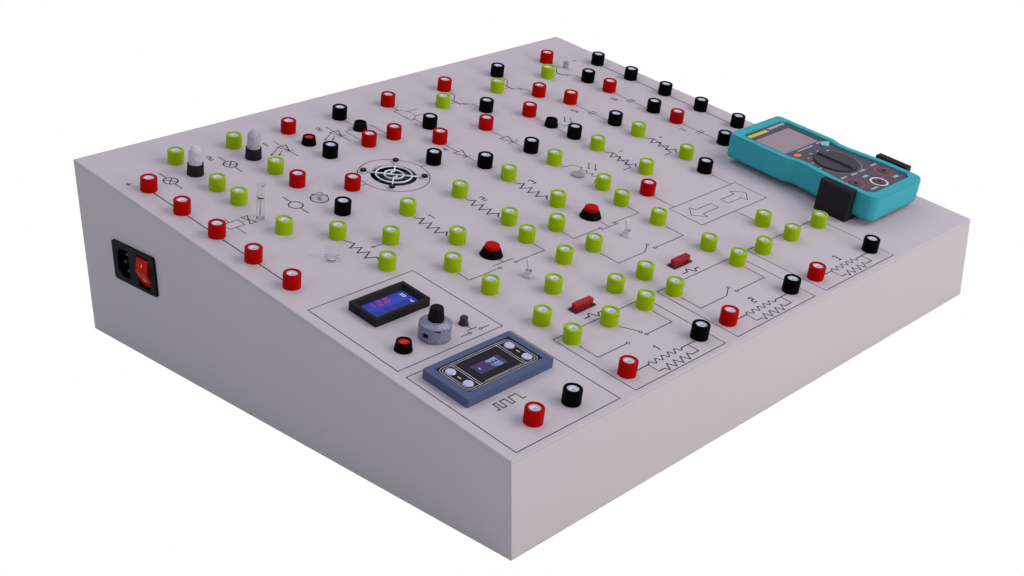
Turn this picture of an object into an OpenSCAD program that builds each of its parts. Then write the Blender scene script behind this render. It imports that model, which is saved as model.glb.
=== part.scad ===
// Basic electricity trainer: a sloped desk housing whose printed top carries sockets,
// small experiments, a supply meter, a pulse module and a pocket meter in a cradle.
// Millimetres. The origin is the middle of the footprint, on the surface it stands on.
// X runs along the front, Y to the back, Z up.

/* [Housing] */
// Width of the housing along the front
body_w = 572; // [540:1:640]
// Depth of the housing from front to back
body_d = 488; // [450:1:560]
// Height of the housing at the front edge, without feet
front_h = 71; // [66:1:110]
// Height of the housing at the back edge, without feet
back_h = 149; // [130:1:200]
// Thickness of the folded steel sheet
wall_t = 1.5; // [1:0.1:2.5]
// Thickness of the printed top panel
panel_t = 2; // [1.5:0.1:3]
// Thickness of the base plate
base_t = 1.5; // [1:0.1:3]
// Width of the folded flanges inside the housing
flange_w = 12; // [10:0.5:16]
// Height of the rubber feet
foot_h = 3; // [2.5:0.1:8]
// Radius of the rubber feet
foot_r = 9; // [6:0.5:14]
// Distance from the housing edges to the middle of a foot
foot_inset = 34; // [28:1:60]

/* [Sockets] */
// Radius of the coloured collar
collar_r = 6.6; // [6.3:0.1:6.8]
// Height of the collar above the panel
collar_h = 11.3; // [9:0.1:14]
// Radius of the collar's opening
mouth_r = 5.1; // [4.6:0.05:5.2]
// Radius of the threaded neck through the panel
neck_r = 5.6; // [5.2:0.1:5.9]
// Length of the neck below the panel's top
neck_len = 12; // [9:0.5:16]
// Radius of the bore that takes a 4 mm plug
plug_bore_r = 2; // [1.9:0.05:2.2]
// Depth of that bore
plug_bore_len = 19; // [14:0.5:20]
// Spacing of the columns of the socket grid, as a share of the width
grid_col_share = 0.02491; // [0.0244:0.0001:0.0254]
// Spacing of the rows of the socket grid, as a share of the slope
grid_row_share = 0.05747; // [0.056:0.0001:0.0588]
// Place of the first column, as a share of the width
grid_left_share = 0.1142; // [0.112:0.0001:0.117]
// Distance of the first row from the back edge, as a share of the slope
grid_back_share = 0.0929; // [0.089:0.0001:0.097]
// Gap between the nuts of the supply rows and the housing's flange
bus_gap = 0.2; // [0.1:0.1:3]
// Spacing of the sockets in the supply rows, as a share of the slope
bus_pitch_share = 0.09055; // [0.081:0.0001:0.095]
// Place of the first socket of the supply rows, as a share of the slope
bus_front_share = 0.4836; // [0.474:0.0001:0.494]

/* [Circuit boxes] */
// Place of the first column of the first box, as a share of the width
box_left_share = 0.233; // [0.229:0.001:0.236]
// Spacing of the boxes, as a share of the width
box_pitch_share = 0.1993; // [0.1976:0.0001:0.2028]
// Spacing of the outer socket columns in a box, as a share of the width
box_span_share = 0.1393; // [0.1364:0.0001:0.1416]
// Distance up the slope to the front row of sockets
front_row_s = 21.2; // [20:0.1:24]
// Places of the coil, fuse, changeover, toggle and push rows, as shares of the slope
coil_row_share = 0.1457; // [0.1417:0.0001:0.1497]
fuse_row_share = 0.2044; // [0.2004:0.0001:0.2084]
pole_row_share = 0.2574; // [0.253:0.0001:0.261]
toggle_row_share = 0.3096; // [0.3056:0.0001:0.3136]
push_row_share = 0.3901; // [0.3845:0.0001:0.3945]

/* [Supply meter and turns dial] */
// Width of the supply meter's case
supply_w = 50.6; // [46:0.1:53]
// Depth of the supply meter's case
supply_d = 29.4; // [27:0.1:31]
// Height of the supply meter's case above the panel
supply_h = 6.5; // [5:0.1:9]
// Place of the supply meter, as shares of the width and the slope
supply_x_share = 0.1012; // [0.095:0.0001:0.105]
supply_s_share = 0.3588; // [0.352:0.0001:0.366]
// Place of the turns dial, as shares of the width and the slope
dial_x_share = 0.1019; // [0.097:0.0001:0.106]
dial_s_share = 0.2659; // [0.263:0.0001:0.269]
// Radius of the turns dial's metal housing
dial_r = 11.5; // [10:0.1:12.5]
// Height of the fixed metal housing
dial_h = 11; // [8:0.1:12]
// Height of the rotating scale ring's cone
dial_cone_h = 2.6; // [2:0.1:6]
// Height of the black cap
dial_cap_h = 9.6; // [8:0.1:12]
// Number of turns the dial makes
dial_turns = 10; // [5, 10, 15]
// Place of the overload lamp, as a share of the width
overload_x_share = 0.0524; // [0.049:0.0001:0.056]
// Place of the reset button, as a share of the width
reset_x_share = 0.1505; // [0.147:0.0001:0.154]

/* [Pulse module] */
// Width of the module's frame
pulse_w = 80.5; // [78:0.5:82]
// Depth of the module's frame
pulse_d = 43; // [41:0.5:45]
// Height of the frame above the panel
pulse_h = 6.8; // [5:0.1:9]
// Width of the black face plate
pulse_face_w = 68.5; // [67:0.1:70]
// Depth of the black face plate
pulse_face_d = 33; // [32:0.1:35]
// Place of the module, as shares of the width and the slope
pulse_x_share = 0.1004; // [0.098:0.0001:0.104]
pulse_s_share = 0.1574; // [0.154:0.0001:0.161]
// Radius of the module's round buttons
key_r = 3.7; // [3:0.1:4]
// Travel of the module's buttons
key_travel = 0.5; // [0.3:0.1:0.8]

/* [Push buttons and toggles] */
// Radius of the push button's conical bezel at the panel
bezel_r = 9.2; // [8:0.1:10]
// Radius of the push button's conical bezel at the top
bezel_top_r = 6.7; // [6.4:0.1:7.5]
// Height of the conical bezel
bezel_h = 5.8; // [4:0.1:8]
// Radius of the red cap
cap_r = 5.8; // [4.5:0.1:6]
// Height of the red cap above the panel
cap_h = 9.1; // [8:0.1:12]
// Travel of the push buttons
push_travel = 2; // [1:0.1:2.5]
// Radius of the toggle's threaded bush
bush_r = 3; // [2.5:0.1:3.5]
// Height of the bush above the panel
bush_h = 5; // [4:0.1:8]
// Length of the toggle's bat above the pivot
bat_len = 13; // [10:0.5:16]
// Tilt of the toggle's bat to either side
bat_tilt = 12; // [8:1:14]

/* [Lamps and sensors] */
// Radius of the lamp holders
holder_r = 6.9; // [6:0.1:8]
// Height of the lamp holders above the panel
holder_h = 9.3; // [8:0.1:12]
// Radius of the lamp glass
bulb_r = 5.4; // [4:0.1:5.6]
// Height of the lamp glass above the panel
bulb_top = 25; // [20:0.5:30]
// Distance of the lamps from the socket row behind them, as a share of the slope
lamp_back_share = 0.0524; // [0.049:0.0001:0.056]
// Radius of the small bezels at the panel
cone_r = 6.5; // [6:0.1:7]
// Height of the small bezels
cone_h = 7; // [5:0.1:9]
// Radius of the clear solenoid tube
tube_r = 3.3; // [3:0.1:4]
// Height of the clear solenoid tube above the panel
tube_h = 29; // [24:0.5:34]
// Travel of the solenoid's plunger
plunger_travel = 8; // [4:0.5:10]

/* [Fan and motor] */
// Place of the fan, as a share of the width
fan_x_share = 0.351; // [0.348:0.0005:0.354]
// Distance from the fan to its sockets, as a share of the width
fan_reach_share = 0.0782; // [0.072:0.0001:0.083]
// Outer size of the fan's square frame
fan_size = 43; // [42:0.1:46]
// Spacing of the fan's fixing screws
fan_pitch = 36; // [35.6:0.1:37]
// Radius of the fan's opening
fan_open_r = 19.4; // [18:0.1:19.6]
// Radius of the guard's wire
wire_r = 0.7; // [0.5:0.05:0.9]
// Number of fan blades
fan_blades = 7; // [5, 7, 9]
// Radius of the motor's disc
disc_r = 6.6; // [5:0.1:8]

/* [Fuses] */
// Length of the fuse's plastic body
fuse_w = 19.1; // [18:0.1:20]
// Thickness of the fuse's plastic body
fuse_d = 5; // [4.5:0.1:5.5]
// Height of the fuse above the panel
fuse_h = 5.6; // [4.5:0.1:8]
// Travel of a fuse as it is pulled out
fuse_travel = 16; // [12:0.5:20]

/* [Pocket meter] */
// Place of the pocket meter's middle line, as a share of the width
pocket_x_share = 0.8998; // [0.897:0.0001:0.902]
// Place of the pocket meter's front end, as a share of the slope
pocket_front_share = 0.087; // [0.083:0.0001:0.092]
// Length of the pocket meter's holster
pocket_len = 155; // [151:0.5:159]
// Width of the holster at the display end
pocket_back_w = 76.6; // [74:0.1:78]
// Width of the holster at its waist
pocket_waist_w = 69.6; // [67:0.1:72]
// Width of the holster at the jack end
pocket_front_w = 79; // [78:0.1:80]
// Thickness of the holster
pocket_h = 21.5; // [19:0.1:24]
// Depth of the meter's face below the holster's rim
face_drop = 1.8; // [1:0.1:3]
// Radius of the selector dial
selector_r = 19.5; // [17:0.1:20.5]
// Thickness of the cradle's arms
arm_t = 9; // [6:0.1:9.5]
// Length of the cradle's arms along the slope
arm_len = 31; // [24:0.5:34]
// Height of the cradle's arms
arm_h = 28.2; // [26:0.1:30]
// Thickness of the cradle's base
cradle_t = 5; // [3:0.1:6]
// Lift that takes the meter clear of the cradle
pocket_lift = 40; // [30:1:60]

/* [Mains inlet] */
// Place of the inlet along the side, as a share of the depth
inlet_y_share = 0.8416; // [0.78:0.0001:0.88]
// Height of the middle of the inlet
inlet_z = 78; // [60:0.5:84]
// Length of the inlet's flange along the side
inlet_w = 59.5; // [58:0.1:62]
// Height of the inlet's flange
inlet_hh = 33; // [32:0.1:35]
// Thickness of the inlet's flange
inlet_t = 2; // [1.5:0.1:3]
// Tilt of the rocker from the middle to either side
rocker_tilt = 7; // [4:0.5:8]

/* [Hidden] */
$fn = 48;
// Fine setting for small round pieces
fine = 32;
// Overrun of every cut
eps = 0.5;
// Radial clearance of parts that stand in a hole
fit_gap = 0.1;
// Radial clearance of shafts and guides
run_gap = 0.06;
// Gap between pieces that move past each other
air_gap = 0.35;

// Slope of the desk and the length of its top
slope = atan((back_h - front_h) / body_d);
panel_len = body_d / cos(slope);
panel_rise = panel_t / cos(slope);
flange_rise = wall_t / cos(slope);

// Places that follow the housing's width and slope
supply_x = body_w * supply_x_share;
supply_s = panel_len * supply_s_share;
dial_x = body_w * dial_x_share;
dial_s = panel_len * dial_s_share;
reset_x = body_w * reset_x_share;
pulse_x = body_w * pulse_x_share;
pulse_s = panel_len * pulse_s_share;
fan_x = body_w * fan_x_share;
fan_reach = body_w * fan_reach_share;
pocket_x = body_w * pocket_x_share;
pocket_front = panel_len * pocket_front_share;
inlet_y = body_d * inlet_y_share;

// Places on the panel: x from the left edge, s up the slope from the front edge, h above it
module on_panel(x, s, h = 0) {
    translate([-body_w / 2, -body_d / 2, foot_h + front_h])
        rotate([slope, 0, 0])
            translate([x, s, h])
                children();
}

// Places on the left side: local z points out, local y up, local x to the front
module on_left_side(y, z) {
    translate([-body_w / 2, -body_d / 2 + y, foot_h + z])
        rotate([90, 0, -90])
            children();
}

// A side profile of the desk run along X
module side_profile(x, w, points) {
    translate([x, -body_d / 2, foot_h])
        rotate([90, 0, 90])
            linear_extrude(w)
                polygon(points);
}

// A rectangle with rounded corners, about the origin
module round_rect(w, d, r) {
    square([w - 2 * r, d], center = true);
    square([w, d - 2 * r], center = true);
    for (x = [-1, 1])
        for (y = [-1, 1])
            translate([x * (w / 2 - r), y * (d / 2 - r)])
                circle(r);
}

module round_plate(w, d, r, t) {
    linear_extrude(t)
        round_rect(w, d, r);
}

// Points of a round stretch
function arc(cx, cy, r, from, to, steps) =
    [for (i = [0:steps]) [cx + r * cos(from + (to - from) * i / steps),
                          cy + r * sin(from + (to - from) * i / steps)]];

// Counts of steps right and down on the socket grid, from its back left socket
red_step_counts = [[8, 0], [16, 0], [21, 0], [31, 0], [11, 2], [13, 2], [26, 2],
                   [4, 3], [15, 3], [19, 3], [23, 3], [27, 3], [31, 3], [31, 6]];
black_step_counts = [[12, 0], [26, 0], [8, 2], [16, 2], [21, 2], [31, 2],
                     [4, 5], [15, 5], [19, 5], [23, 5], [27, 5], [31, 5], [31, 8]];
green_step_counts = [[0, 0], [4, 0], [0, 2], [4, 2], [0, 3], [0, 5],
                     [19, 1], [24, 1], [29, 1],
                     [2, 6], [4, 7], [2, 8],
                     [7, 6], [11, 6], [15, 6], [19, 6], [23, 6], [27, 6],
                     [7, 8], [11, 8], [15, 8], [19, 8], [23, 8], [27, 8]];
function grid(right, down) =
    [body_w * (grid_left_share + right * grid_col_share),
     panel_len * (1 - grid_back_share - down * grid_row_share)];
function box_x(box, half) =
    body_w * (box_left_share + box * box_pitch_share + half * box_span_share / 2);
function in_box(box, half, row_share) = [box_x(box, half), panel_len * row_share];
function bus_s(k) = panel_len * (bus_front_share + k * bus_pitch_share);

// Sockets of the pulse module, as shares of the width
pulse_red_share = 0.0722;
pulse_black_share = 0.135;

nut_r = 8;
nut_t = 3;
bus_inset = flange_w + nut_r + bus_gap;
red_places = concat(
    [for (k = [0:4]) [bus_inset, bus_s(k)]],
    [for (step = red_step_counts) grid(step[0], step[1])],
    [[fan_x - fan_reach, grid(0, 4)[1]]],
    [for (box = [0:2]) [box_x(box, 0), front_row_s]],
    [in_box(2, 0, push_row_share), [body_w * pulse_red_share, front_row_s]]);
black_places = concat(
    [for (k = [0:4]) [body_w - bus_inset, bus_s(k)]],
    [for (step = black_step_counts) grid(step[0], step[1])],
    [[fan_x + fan_reach, grid(0, 4)[1]]],
    [for (box = [0:2]) [box_x(box, 2), front_row_s]],
    [in_box(2, 2, push_row_share), [body_w * pulse_black_share, front_row_s]]);
green_places = concat(
    [for (step = green_step_counts) grid(step[0], step[1])],
    [for (box = [0:1]) for (half = [0, 2])
        for (row_share = [push_row_share, toggle_row_share, coil_row_share])
            in_box(box, half, row_share)],
    [in_box(0, 1, pole_row_share), in_box(0, 1, coil_row_share)],
    [for (place = [[0, 0], [0, 2], [1, 0], [1, 2], [2, 1]])
        in_box(place[0], place[1], fuse_row_share)],
    [for (half = [0:2]) in_box(2, half, coil_row_share)]);
all_places = concat(red_places, black_places, green_places);

// Values of the socket: the rim is rounded, the contact sits below it
rim_r = 1;
mouth_h = 10.4;
contact_head_t = 1.4;
contact_stem_r = 3;
contact_tail = 8;
flare = 0.3;
neck_hole_r = neck_r + fit_gap;

// Insulated body of one socket, turned about its axis
module socket_body() {
    rotate_extrude($fn = fine)
        polygon(concat(
            [[contact_stem_r + fit_gap, -neck_len], [neck_r, -neck_len], [neck_r, 0], [collar_r, 0]],
            arc(collar_r - rim_r, collar_h - rim_r, rim_r, 0, 90, 4),
            [[mouth_r, collar_h], [mouth_r, mouth_h - contact_head_t],
             [contact_stem_r + fit_gap, mouth_h - contact_head_t]]));
}

// Nickel contact of one socket, with its flared mouth, bore and solder tail
module socket_contact() {
    floor_h = mouth_h - plug_bore_len;
    rotate_extrude($fn = fine)
        polygon([[0, -neck_len - contact_tail], [contact_stem_r, -neck_len - contact_tail],
                 [contact_stem_r, mouth_h - contact_head_t],
                 [mouth_r - fit_gap, mouth_h - contact_head_t], [mouth_r - fit_gap, mouth_h],
                 [plug_bore_r + flare, mouth_h], [plug_bore_r, mouth_h - flare],
                 [plug_bore_r, floor_h], [0, floor_h]]);
}

module socket_nut() {
    difference() {
        translate([0, 0, -panel_t - nut_t])
            cylinder(r = nut_r, h = nut_t, $fn = 6);
        translate([0, 0, -panel_t - nut_t - eps])
            cylinder(r = neck_hole_r, h = nut_t + 2 * eps, $fn = fine);
    }
}

module red_sockets() {
    color("red")
        for (place = red_places)
            on_panel(place[0], place[1]) socket_body();
}

module black_sockets() {
    color("#151515")
        for (place = black_places)
            on_panel(place[0], place[1]) socket_body();
}

module green_sockets() {
    color("yellowgreen")
        for (place = green_places)
            on_panel(place[0], place[1]) socket_body();
}

module socket_contacts() {
    color("silver")
        for (place = all_places)
            on_panel(place[0], place[1]) socket_contact();
}

module socket_nuts() {
    color("gray")
        for (place = all_places)
            on_panel(place[0], place[1]) socket_nut();
}

// Housing: four folded walls with a flange under the panel and one over the base plate
module housing_shell() {
    inner_top_front = front_h - panel_rise - flange_rise + wall_t * tan(slope);
    inner_top_back = back_h - panel_rise - flange_rise - wall_t * tan(slope);
    color("#c9c4c8")
    difference() {
        side_profile(-body_w / 2, body_w,
            [[0, 0], [body_d, 0], [body_d, back_h - panel_rise], [0, front_h - panel_rise]]);
        side_profile(-body_w / 2 + wall_t, body_w - 2 * wall_t,
            [[wall_t, base_t + wall_t], [body_d - wall_t, base_t + wall_t],
             [body_d - wall_t, inner_top_back], [wall_t, inner_top_front]]);
        translate([-body_w / 2 + wall_t, -body_d / 2 + wall_t, foot_h - eps])
            cube([body_w - 2 * wall_t, body_d - 2 * wall_t, base_t + eps]);
        translate([-body_w / 2 + flange_w, -body_d / 2 + flange_w, foot_h - eps])
            cube([body_w - 2 * flange_w, body_d - 2 * flange_w, back_h + 2 * eps]);
        inlet_cutout();
        at_base_screws()
            cylinder(r = base_screw_r + fit_gap, h = base_t + 2 * wall_t + eps, $fn = fine);
    }
}

// Base plate and its screws
base_screw_r = 1.5;
base_head_r = 2.8;
base_head_h = 1.6;
module at_base_screws() {
    edge = wall_t + (flange_w - wall_t) / 2;
    for (x = [-1, 0, 1])
        for (y = [-1, 1])
            translate([x * (body_w / 2 - edge), y * (body_d / 2 - edge), foot_h])
                children();
    for (x = [-1, 1])
        translate([x * (body_w / 2 - edge), 0, foot_h])
            children();
}

module base_plate() {
    color("gainsboro")
    difference() {
        translate([0, 0, foot_h])
            linear_extrude(base_t)
                square([body_w - 2 * wall_t - 2 * fit_gap, body_d - 2 * wall_t - 2 * fit_gap],
                       center = true);
        translate([0, 0, -eps])
            at_base_screws()
                cylinder(r = base_screw_r + fit_gap, h = base_t + 2 * eps, $fn = fine);
    }
}

module base_screws() {
    color("silver")
        at_base_screws() {
            translate([0, 0, -base_head_h])
                cylinder(r = base_head_r, h = base_head_h, $fn = fine);
            cylinder(r = base_screw_r, h = base_t + wall_t + base_screw_r, $fn = fine);
        }
}

foot_lip = 1;
module rubber_feet() {
    color("#202020")
        for (x = [-1, 1])
            for (y = [-1, 1])
                translate([x * (body_w / 2 - foot_inset), y * (body_d / 2 - foot_inset), 0])
                    cylinder(r1 = foot_r - foot_lip, r2 = foot_r, h = foot_h);
}

// Top panel with the holes of everything that it carries
module top_panel() {
    color("#cdc6cb")
    difference() {
        side_profile(-body_w / 2, body_w,
            [[0, front_h - panel_rise], [body_d, back_h - panel_rise], [body_d, back_h],
             [0, front_h]]);
        for (place = all_places)
            panel_hole(place, neck_hole_r);
        for (place = [lamp_place(0), lamp_place(4)])
            panel_hole(place, holder_neck_r + fit_gap);
        for (place = cone_places)
            panel_hole(place, cone_neck_r + fit_gap);
        for (place = push_places)
            panel_hole(place, push_neck_r + fit_gap);
        for (place = toggle_places)
            panel_hole(place, bush_r + fit_gap);
        for (place = sensor_lead_places)
            panel_hole(place, lead_r + fit_gap);
        panel_hole([dial_x, dial_s], dial_bush_r + fit_gap);
        panel_hole([reset_x, dial_s], reset_neck_r + fit_gap);
        panel_hole([knob_x, knob_s], shaft_r + 2 * fit_gap);
        panel_hole([tube_x, tube_s], tube_r + fit_gap);
        panel_hole(motor_place, motor_shaft_r + air_gap);
        panel_hole([fan_x, fan_s], fan_open_r);
        for (x = [-1, 1])
            for (y = [-1, 1])
                panel_hole([fan_x + x * fan_pitch / 2, fan_s + y * fan_pitch / 2],
                           fan_screw_r + fit_gap);
        for (place = fuse_places)
            panel_window(place, fuse_w + 2 * fuse_wall - fuse_lip, fuse_d + 2 * fuse_wall - fuse_lip);
        panel_window([supply_x, supply_s], supply_w - supply_lip, supply_d - supply_lip);
        panel_window([pulse_x, pulse_s], pulse_w - pulse_lip, pulse_d - pulse_lip);
        for (x = [-1, 1])
            panel_hole([pocket_x + x * cradle_screw_x, cradle_s], base_screw_r + fit_gap);
    }
}

module panel_hole(place, r) {
    on_panel(place[0], place[1], -panel_t - eps)
        cylinder(r = r, h = panel_t + 2 * eps);
}

module panel_window(place, w, d) {
    on_panel(place[0], place[1], -panel_t - eps)
        translate([-w / 2, -d / 2, 0])
            cube([w, d, panel_t + 2 * eps]);
}

// Mains inlet with its rocker, both in one moulded body
inlet_body_w = 50;
inlet_body_h = 29.6;
inlet_deep = 22;
inlet_corner = 2.5;
coupler_w = 17;
coupler_h = 24;
coupler_deep = 16;
coupler_chamfer = 5;
coupler_x = -14.6;
rocker_x = 13.9;
rocker_w = 15.4;
rocker_half = 12.3;
rocker_rise = 4.2;
rocker_edge = 0.6;
rocker_under = 7;
rocker_foot_half = 9.5;
ridge_shift = 1.5;
pivot_depth = 5;
pivot_r = 1.2;
pivot_len = 1.4;
rocker_room_half = 13.6;

module inlet_cutout() {
    on_left_side(inlet_y, inlet_z)
        translate([-inlet_body_w / 2 - fit_gap, -inlet_body_h / 2 - fit_gap, -wall_t - eps])
            cube([inlet_body_w + 2 * fit_gap, inlet_body_h + 2 * fit_gap, wall_t + 2 * eps]);
}

// Opening of the coupler: a rectangle with two cut corners on the earth side
module coupler_outline() {
    polygon([[coupler_w / 2, -coupler_h / 2], [coupler_w / 2, coupler_h / 2],
             [-coupler_w / 2 + coupler_chamfer, coupler_h / 2],
             [-coupler_w / 2, coupler_h / 2 - coupler_chamfer],
             [-coupler_w / 2, -coupler_h / 2 + coupler_chamfer],
             [-coupler_w / 2 + coupler_chamfer, -coupler_h / 2]]);
}

module inlet_body() {
    room_w = rocker_w + 2 * air_gap;
    color("#1b1b1e")
    on_left_side(inlet_y, inlet_z)
    difference() {
        union() {
            round_plate(inlet_w, inlet_hh, inlet_corner, inlet_t);
            translate([-inlet_body_w / 2, -inlet_body_h / 2, -inlet_deep])
                cube([inlet_body_w, inlet_body_h, inlet_deep]);
        }
        translate([coupler_x, 0, inlet_t - coupler_deep])
            linear_extrude(coupler_deep + eps)
                coupler_outline();
        translate([rocker_x - room_w / 2, -rocker_room_half, inlet_t - coupler_deep])
            cube([room_w, 2 * rocker_room_half, coupler_deep + eps]);
        translate([rocker_x, 0, -pivot_depth])
            rotate([0, 90, 0])
                cylinder(r = pivot_r + run_gap, h = rocker_w + 2 * pivot_len + 2 * air_gap,
                         center = true, $fn = fine);
    }
}

// Three flat pins of the inlet; the earth pin lies towards the cut corners
pin_w = 4;
pin_t = 2;
pin_len = 13;
pin_row = 2;
pin_side = 7;
module inlet_pins() {
    color("silver")
    on_left_side(inlet_y, inlet_z)
        for (pin = [[-1, 0], [1, 1], [1, -1]])
            translate([coupler_x + pin[0] * pin_row - pin_w / 2, pin[1] * pin_side - pin_t / 2,
                       inlet_t - coupler_deep])
                cube([pin_w, pin_t, pin_len]);
}

module power_rocker() {
    color("red")
    on_left_side(inlet_y, inlet_z)
        translate([rocker_x, 0, -pivot_depth])
            rotate([rocker_tilt, 0, 0])
                translate([0, 0, pivot_depth]) {
                    translate([-rocker_w / 2, 0, 0])
                        rotate([90, 0, 90])
                            linear_extrude(rocker_w)
                                polygon([[-rocker_half, rocker_edge], [ridge_shift, rocker_rise],
                                         [rocker_half, rocker_edge],
                                         [rocker_foot_half, -rocker_under],
                                         [-rocker_foot_half, -rocker_under]]);
                    translate([0, 0, -pivot_depth])
                        rotate([0, 90, 0])
                            cylinder(r = pivot_r, h = rocker_w + 2 * pivot_len, center = true,
                                     $fn = fine);
                }
}

// Supply meter: a black case with a sloped recess down to its display
supply_lip = 3;
supply_rim = 2.6;
supply_drop = 4.2;
supply_screen_w = 42;
supply_screen_d = 20.5;
supply_screen_t = 1.2;
supply_deep = 14;
supply_corner = 0.8;
module supply_meter_case() {
    open_w = supply_w - 2 * supply_rim;
    open_d = supply_d - 2 * supply_rim;
    color("#17171a")
    on_panel(supply_x, supply_s)
    difference() {
        union() {
            round_plate(supply_w, supply_d, supply_corner, supply_h);
            translate([0, 0, -supply_deep])
                linear_extrude(supply_deep)
                    square([supply_w - supply_lip - 2 * fit_gap,
                            supply_d - supply_lip - 2 * fit_gap], center = true);
        }
        hull() {
            translate([0, 0, supply_h])
                linear_extrude(eps)
                    square([open_w, open_d], center = true);
            translate([0, 0, supply_h - supply_drop])
                linear_extrude(eps)
                    square([supply_screen_w, supply_screen_d], center = true);
        }
        translate([0, 0, supply_h - supply_drop - supply_screen_t])
            linear_extrude(supply_screen_t + eps)
                square([supply_screen_w, supply_screen_d], center = true);
    }
}

module supply_meter_screen() {
    color("royalblue")
    on_panel(supply_x, supply_s, supply_h - supply_drop - supply_screen_t)
        linear_extrude(supply_screen_t)
            square([supply_screen_w - 2 * fit_gap, supply_screen_d - 2 * fit_gap], center = true);
}

// Pulse module: blue-grey frame, black face plate, small display and four keys
pulse_lip = 4;
pulse_corner = 1.2;
pulse_drop = 0.8;
pulse_face_t = 1.6;
pulse_body_deep = 12;
pulse_screen_w = 25.4;
pulse_screen_d = 11;
pulse_screen_t = 0.8;
pulse_face_shift = 0.5;
key_col = 27.3;
key_row = 8.3;
key_rise = 0.8;
key_stem_r = 2.2;
key_under = 2.6;
key_flange_r = 4.6;
key_flange_t = 0.7;
key_side_shares = [[-1, 1], [-1, -1], [1, 1], [1, -1]];
face_top = pulse_h - pulse_drop;

module pulse_frame() {
    color("#4c5776")
    on_panel(pulse_x, pulse_s)
    difference() {
        union() {
            round_plate(pulse_w, pulse_d, pulse_corner, pulse_h);
            translate([0, 0, -pulse_body_deep])
                linear_extrude(pulse_body_deep)
                    square([pulse_w - pulse_lip - 2 * fit_gap, pulse_d - pulse_lip - 2 * fit_gap],
                           center = true);
        }
        translate([pulse_face_shift, pulse_face_shift, face_top - pulse_face_t])
            linear_extrude(pulse_face_t + pulse_drop + eps)
                square([pulse_face_w, pulse_face_d], center = true);
        at_keys(pulse_face_shift)
            translate([0, 0, face_top - pulse_face_t - key_under - key_travel])
                cylinder(r = key_flange_r + air_gap, h = key_under + key_travel + eps, $fn = fine);
    }
}

module at_keys(shift) {
    for (place = key_side_shares)
        translate([place[0] * key_col + shift, place[1] * key_row + shift, 0])
            children();
}

module pulse_face() {
    color("#1a1a1d")
    on_panel(pulse_x + pulse_face_shift, pulse_s + pulse_face_shift, face_top - pulse_face_t)
    difference() {
        linear_extrude(pulse_face_t)
            square([pulse_face_w - 2 * fit_gap, pulse_face_d - 2 * fit_gap], center = true);
        at_keys(0)
            translate([0, 0, -eps])
                cylinder(r = key_r + air_gap, h = pulse_face_t + 2 * eps, $fn = fine);
        translate([0, 0, pulse_face_t - pulse_screen_t])
            linear_extrude(pulse_screen_t + eps)
                square([pulse_screen_w, pulse_screen_d], center = true);
    }
}

module pulse_screen() {
    color("darkslateblue")
    on_panel(pulse_x + pulse_face_shift, pulse_s + pulse_face_shift, face_top - pulse_screen_t)
        linear_extrude(pulse_screen_t)
            square([pulse_screen_w - 2 * fit_gap, pulse_screen_d - 2 * fit_gap], center = true);
}

// One key: a domed cap on a flange that stops below the face plate
module pulse_key(number) {
    place = key_side_shares[number - 1];
    shoulder = face_top - pulse_face_t - air_gap;
    color("silver")
    on_panel(pulse_x + pulse_face_shift + place[0] * key_col,
             pulse_s + pulse_face_shift + place[1] * key_row)
        rotate_extrude($fn = fine)
            polygon([[0, shoulder - key_flange_t - key_travel],
                     [key_stem_r, shoulder - key_flange_t - key_travel],
                     [key_stem_r, shoulder - key_flange_t], [key_flange_r, shoulder - key_flange_t],
                     [key_flange_r, shoulder], [key_r, shoulder],
                     [key_r, face_top + key_rise - key_travel],
                     [key_r - key_travel, face_top + key_rise], [0, face_top + key_rise]]);
}

module pulse_key_1() { pulse_key(1); }
module pulse_key_2() { pulse_key(2); }
module pulse_key_3() { pulse_key(3); }
module pulse_key_4() { pulse_key(4); }

// Turns dial: potentiometer, fixed housing with a window, scale ring and cap on the shaft
dial_bush_r = 4.5;
dial_bush_h = 4;
dial_shaft_r = 3;
dial_wall = 1.5;
dial_foot = 0.8;
dial_seat_r = 7.6;
window_w = 4.6;
window_h = 3.6;
window_turn = -168;
cap_foot_r = 5.7;
cap_top_r = 4.7;
cap_wall_h = 1.2;
pot_r = 11;
pot_len = 22;
pot_plate = 1.5;
dial_mid_h = dial_h + air_gap;

module dial_housing() {
    color("silver")
    on_panel(dial_x, dial_s)
    difference() {
        cylinder(r = dial_r, h = dial_h);
        translate([0, 0, dial_foot])
            cylinder(r = dial_r - dial_wall, h = dial_h);
        translate([0, 0, -eps])
            cylinder(r = dial_bush_r + fit_gap, h = dial_foot + 2 * eps);
        rotate([0, 0, window_turn])
            translate([dial_r - 2 * dial_wall, -window_w / 2, dial_h / 2 - window_h / 2])
                cube([3 * dial_wall, window_w, window_h]);
    }
}

// The ring carries the number drum behind the window and turns with the cap
module dial_scale_ring() {
    drum_r = dial_r - dial_wall - air_gap;
    color("lightgray")
    on_panel(dial_x, dial_s)
        rotate_extrude()
            polygon([[dial_shaft_r, dial_bush_h + 2 * air_gap],
                     [dial_bush_r + 2 * fit_gap, dial_bush_h + 2 * air_gap],
                     [dial_bush_r + 2 * fit_gap, dial_foot + air_gap],
                     [drum_r, dial_foot + air_gap], [drum_r, dial_mid_h], [dial_r, dial_mid_h],
                     [dial_seat_r, dial_mid_h + dial_cone_h], [dial_shaft_r, dial_mid_h + dial_cone_h]]);
}

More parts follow.
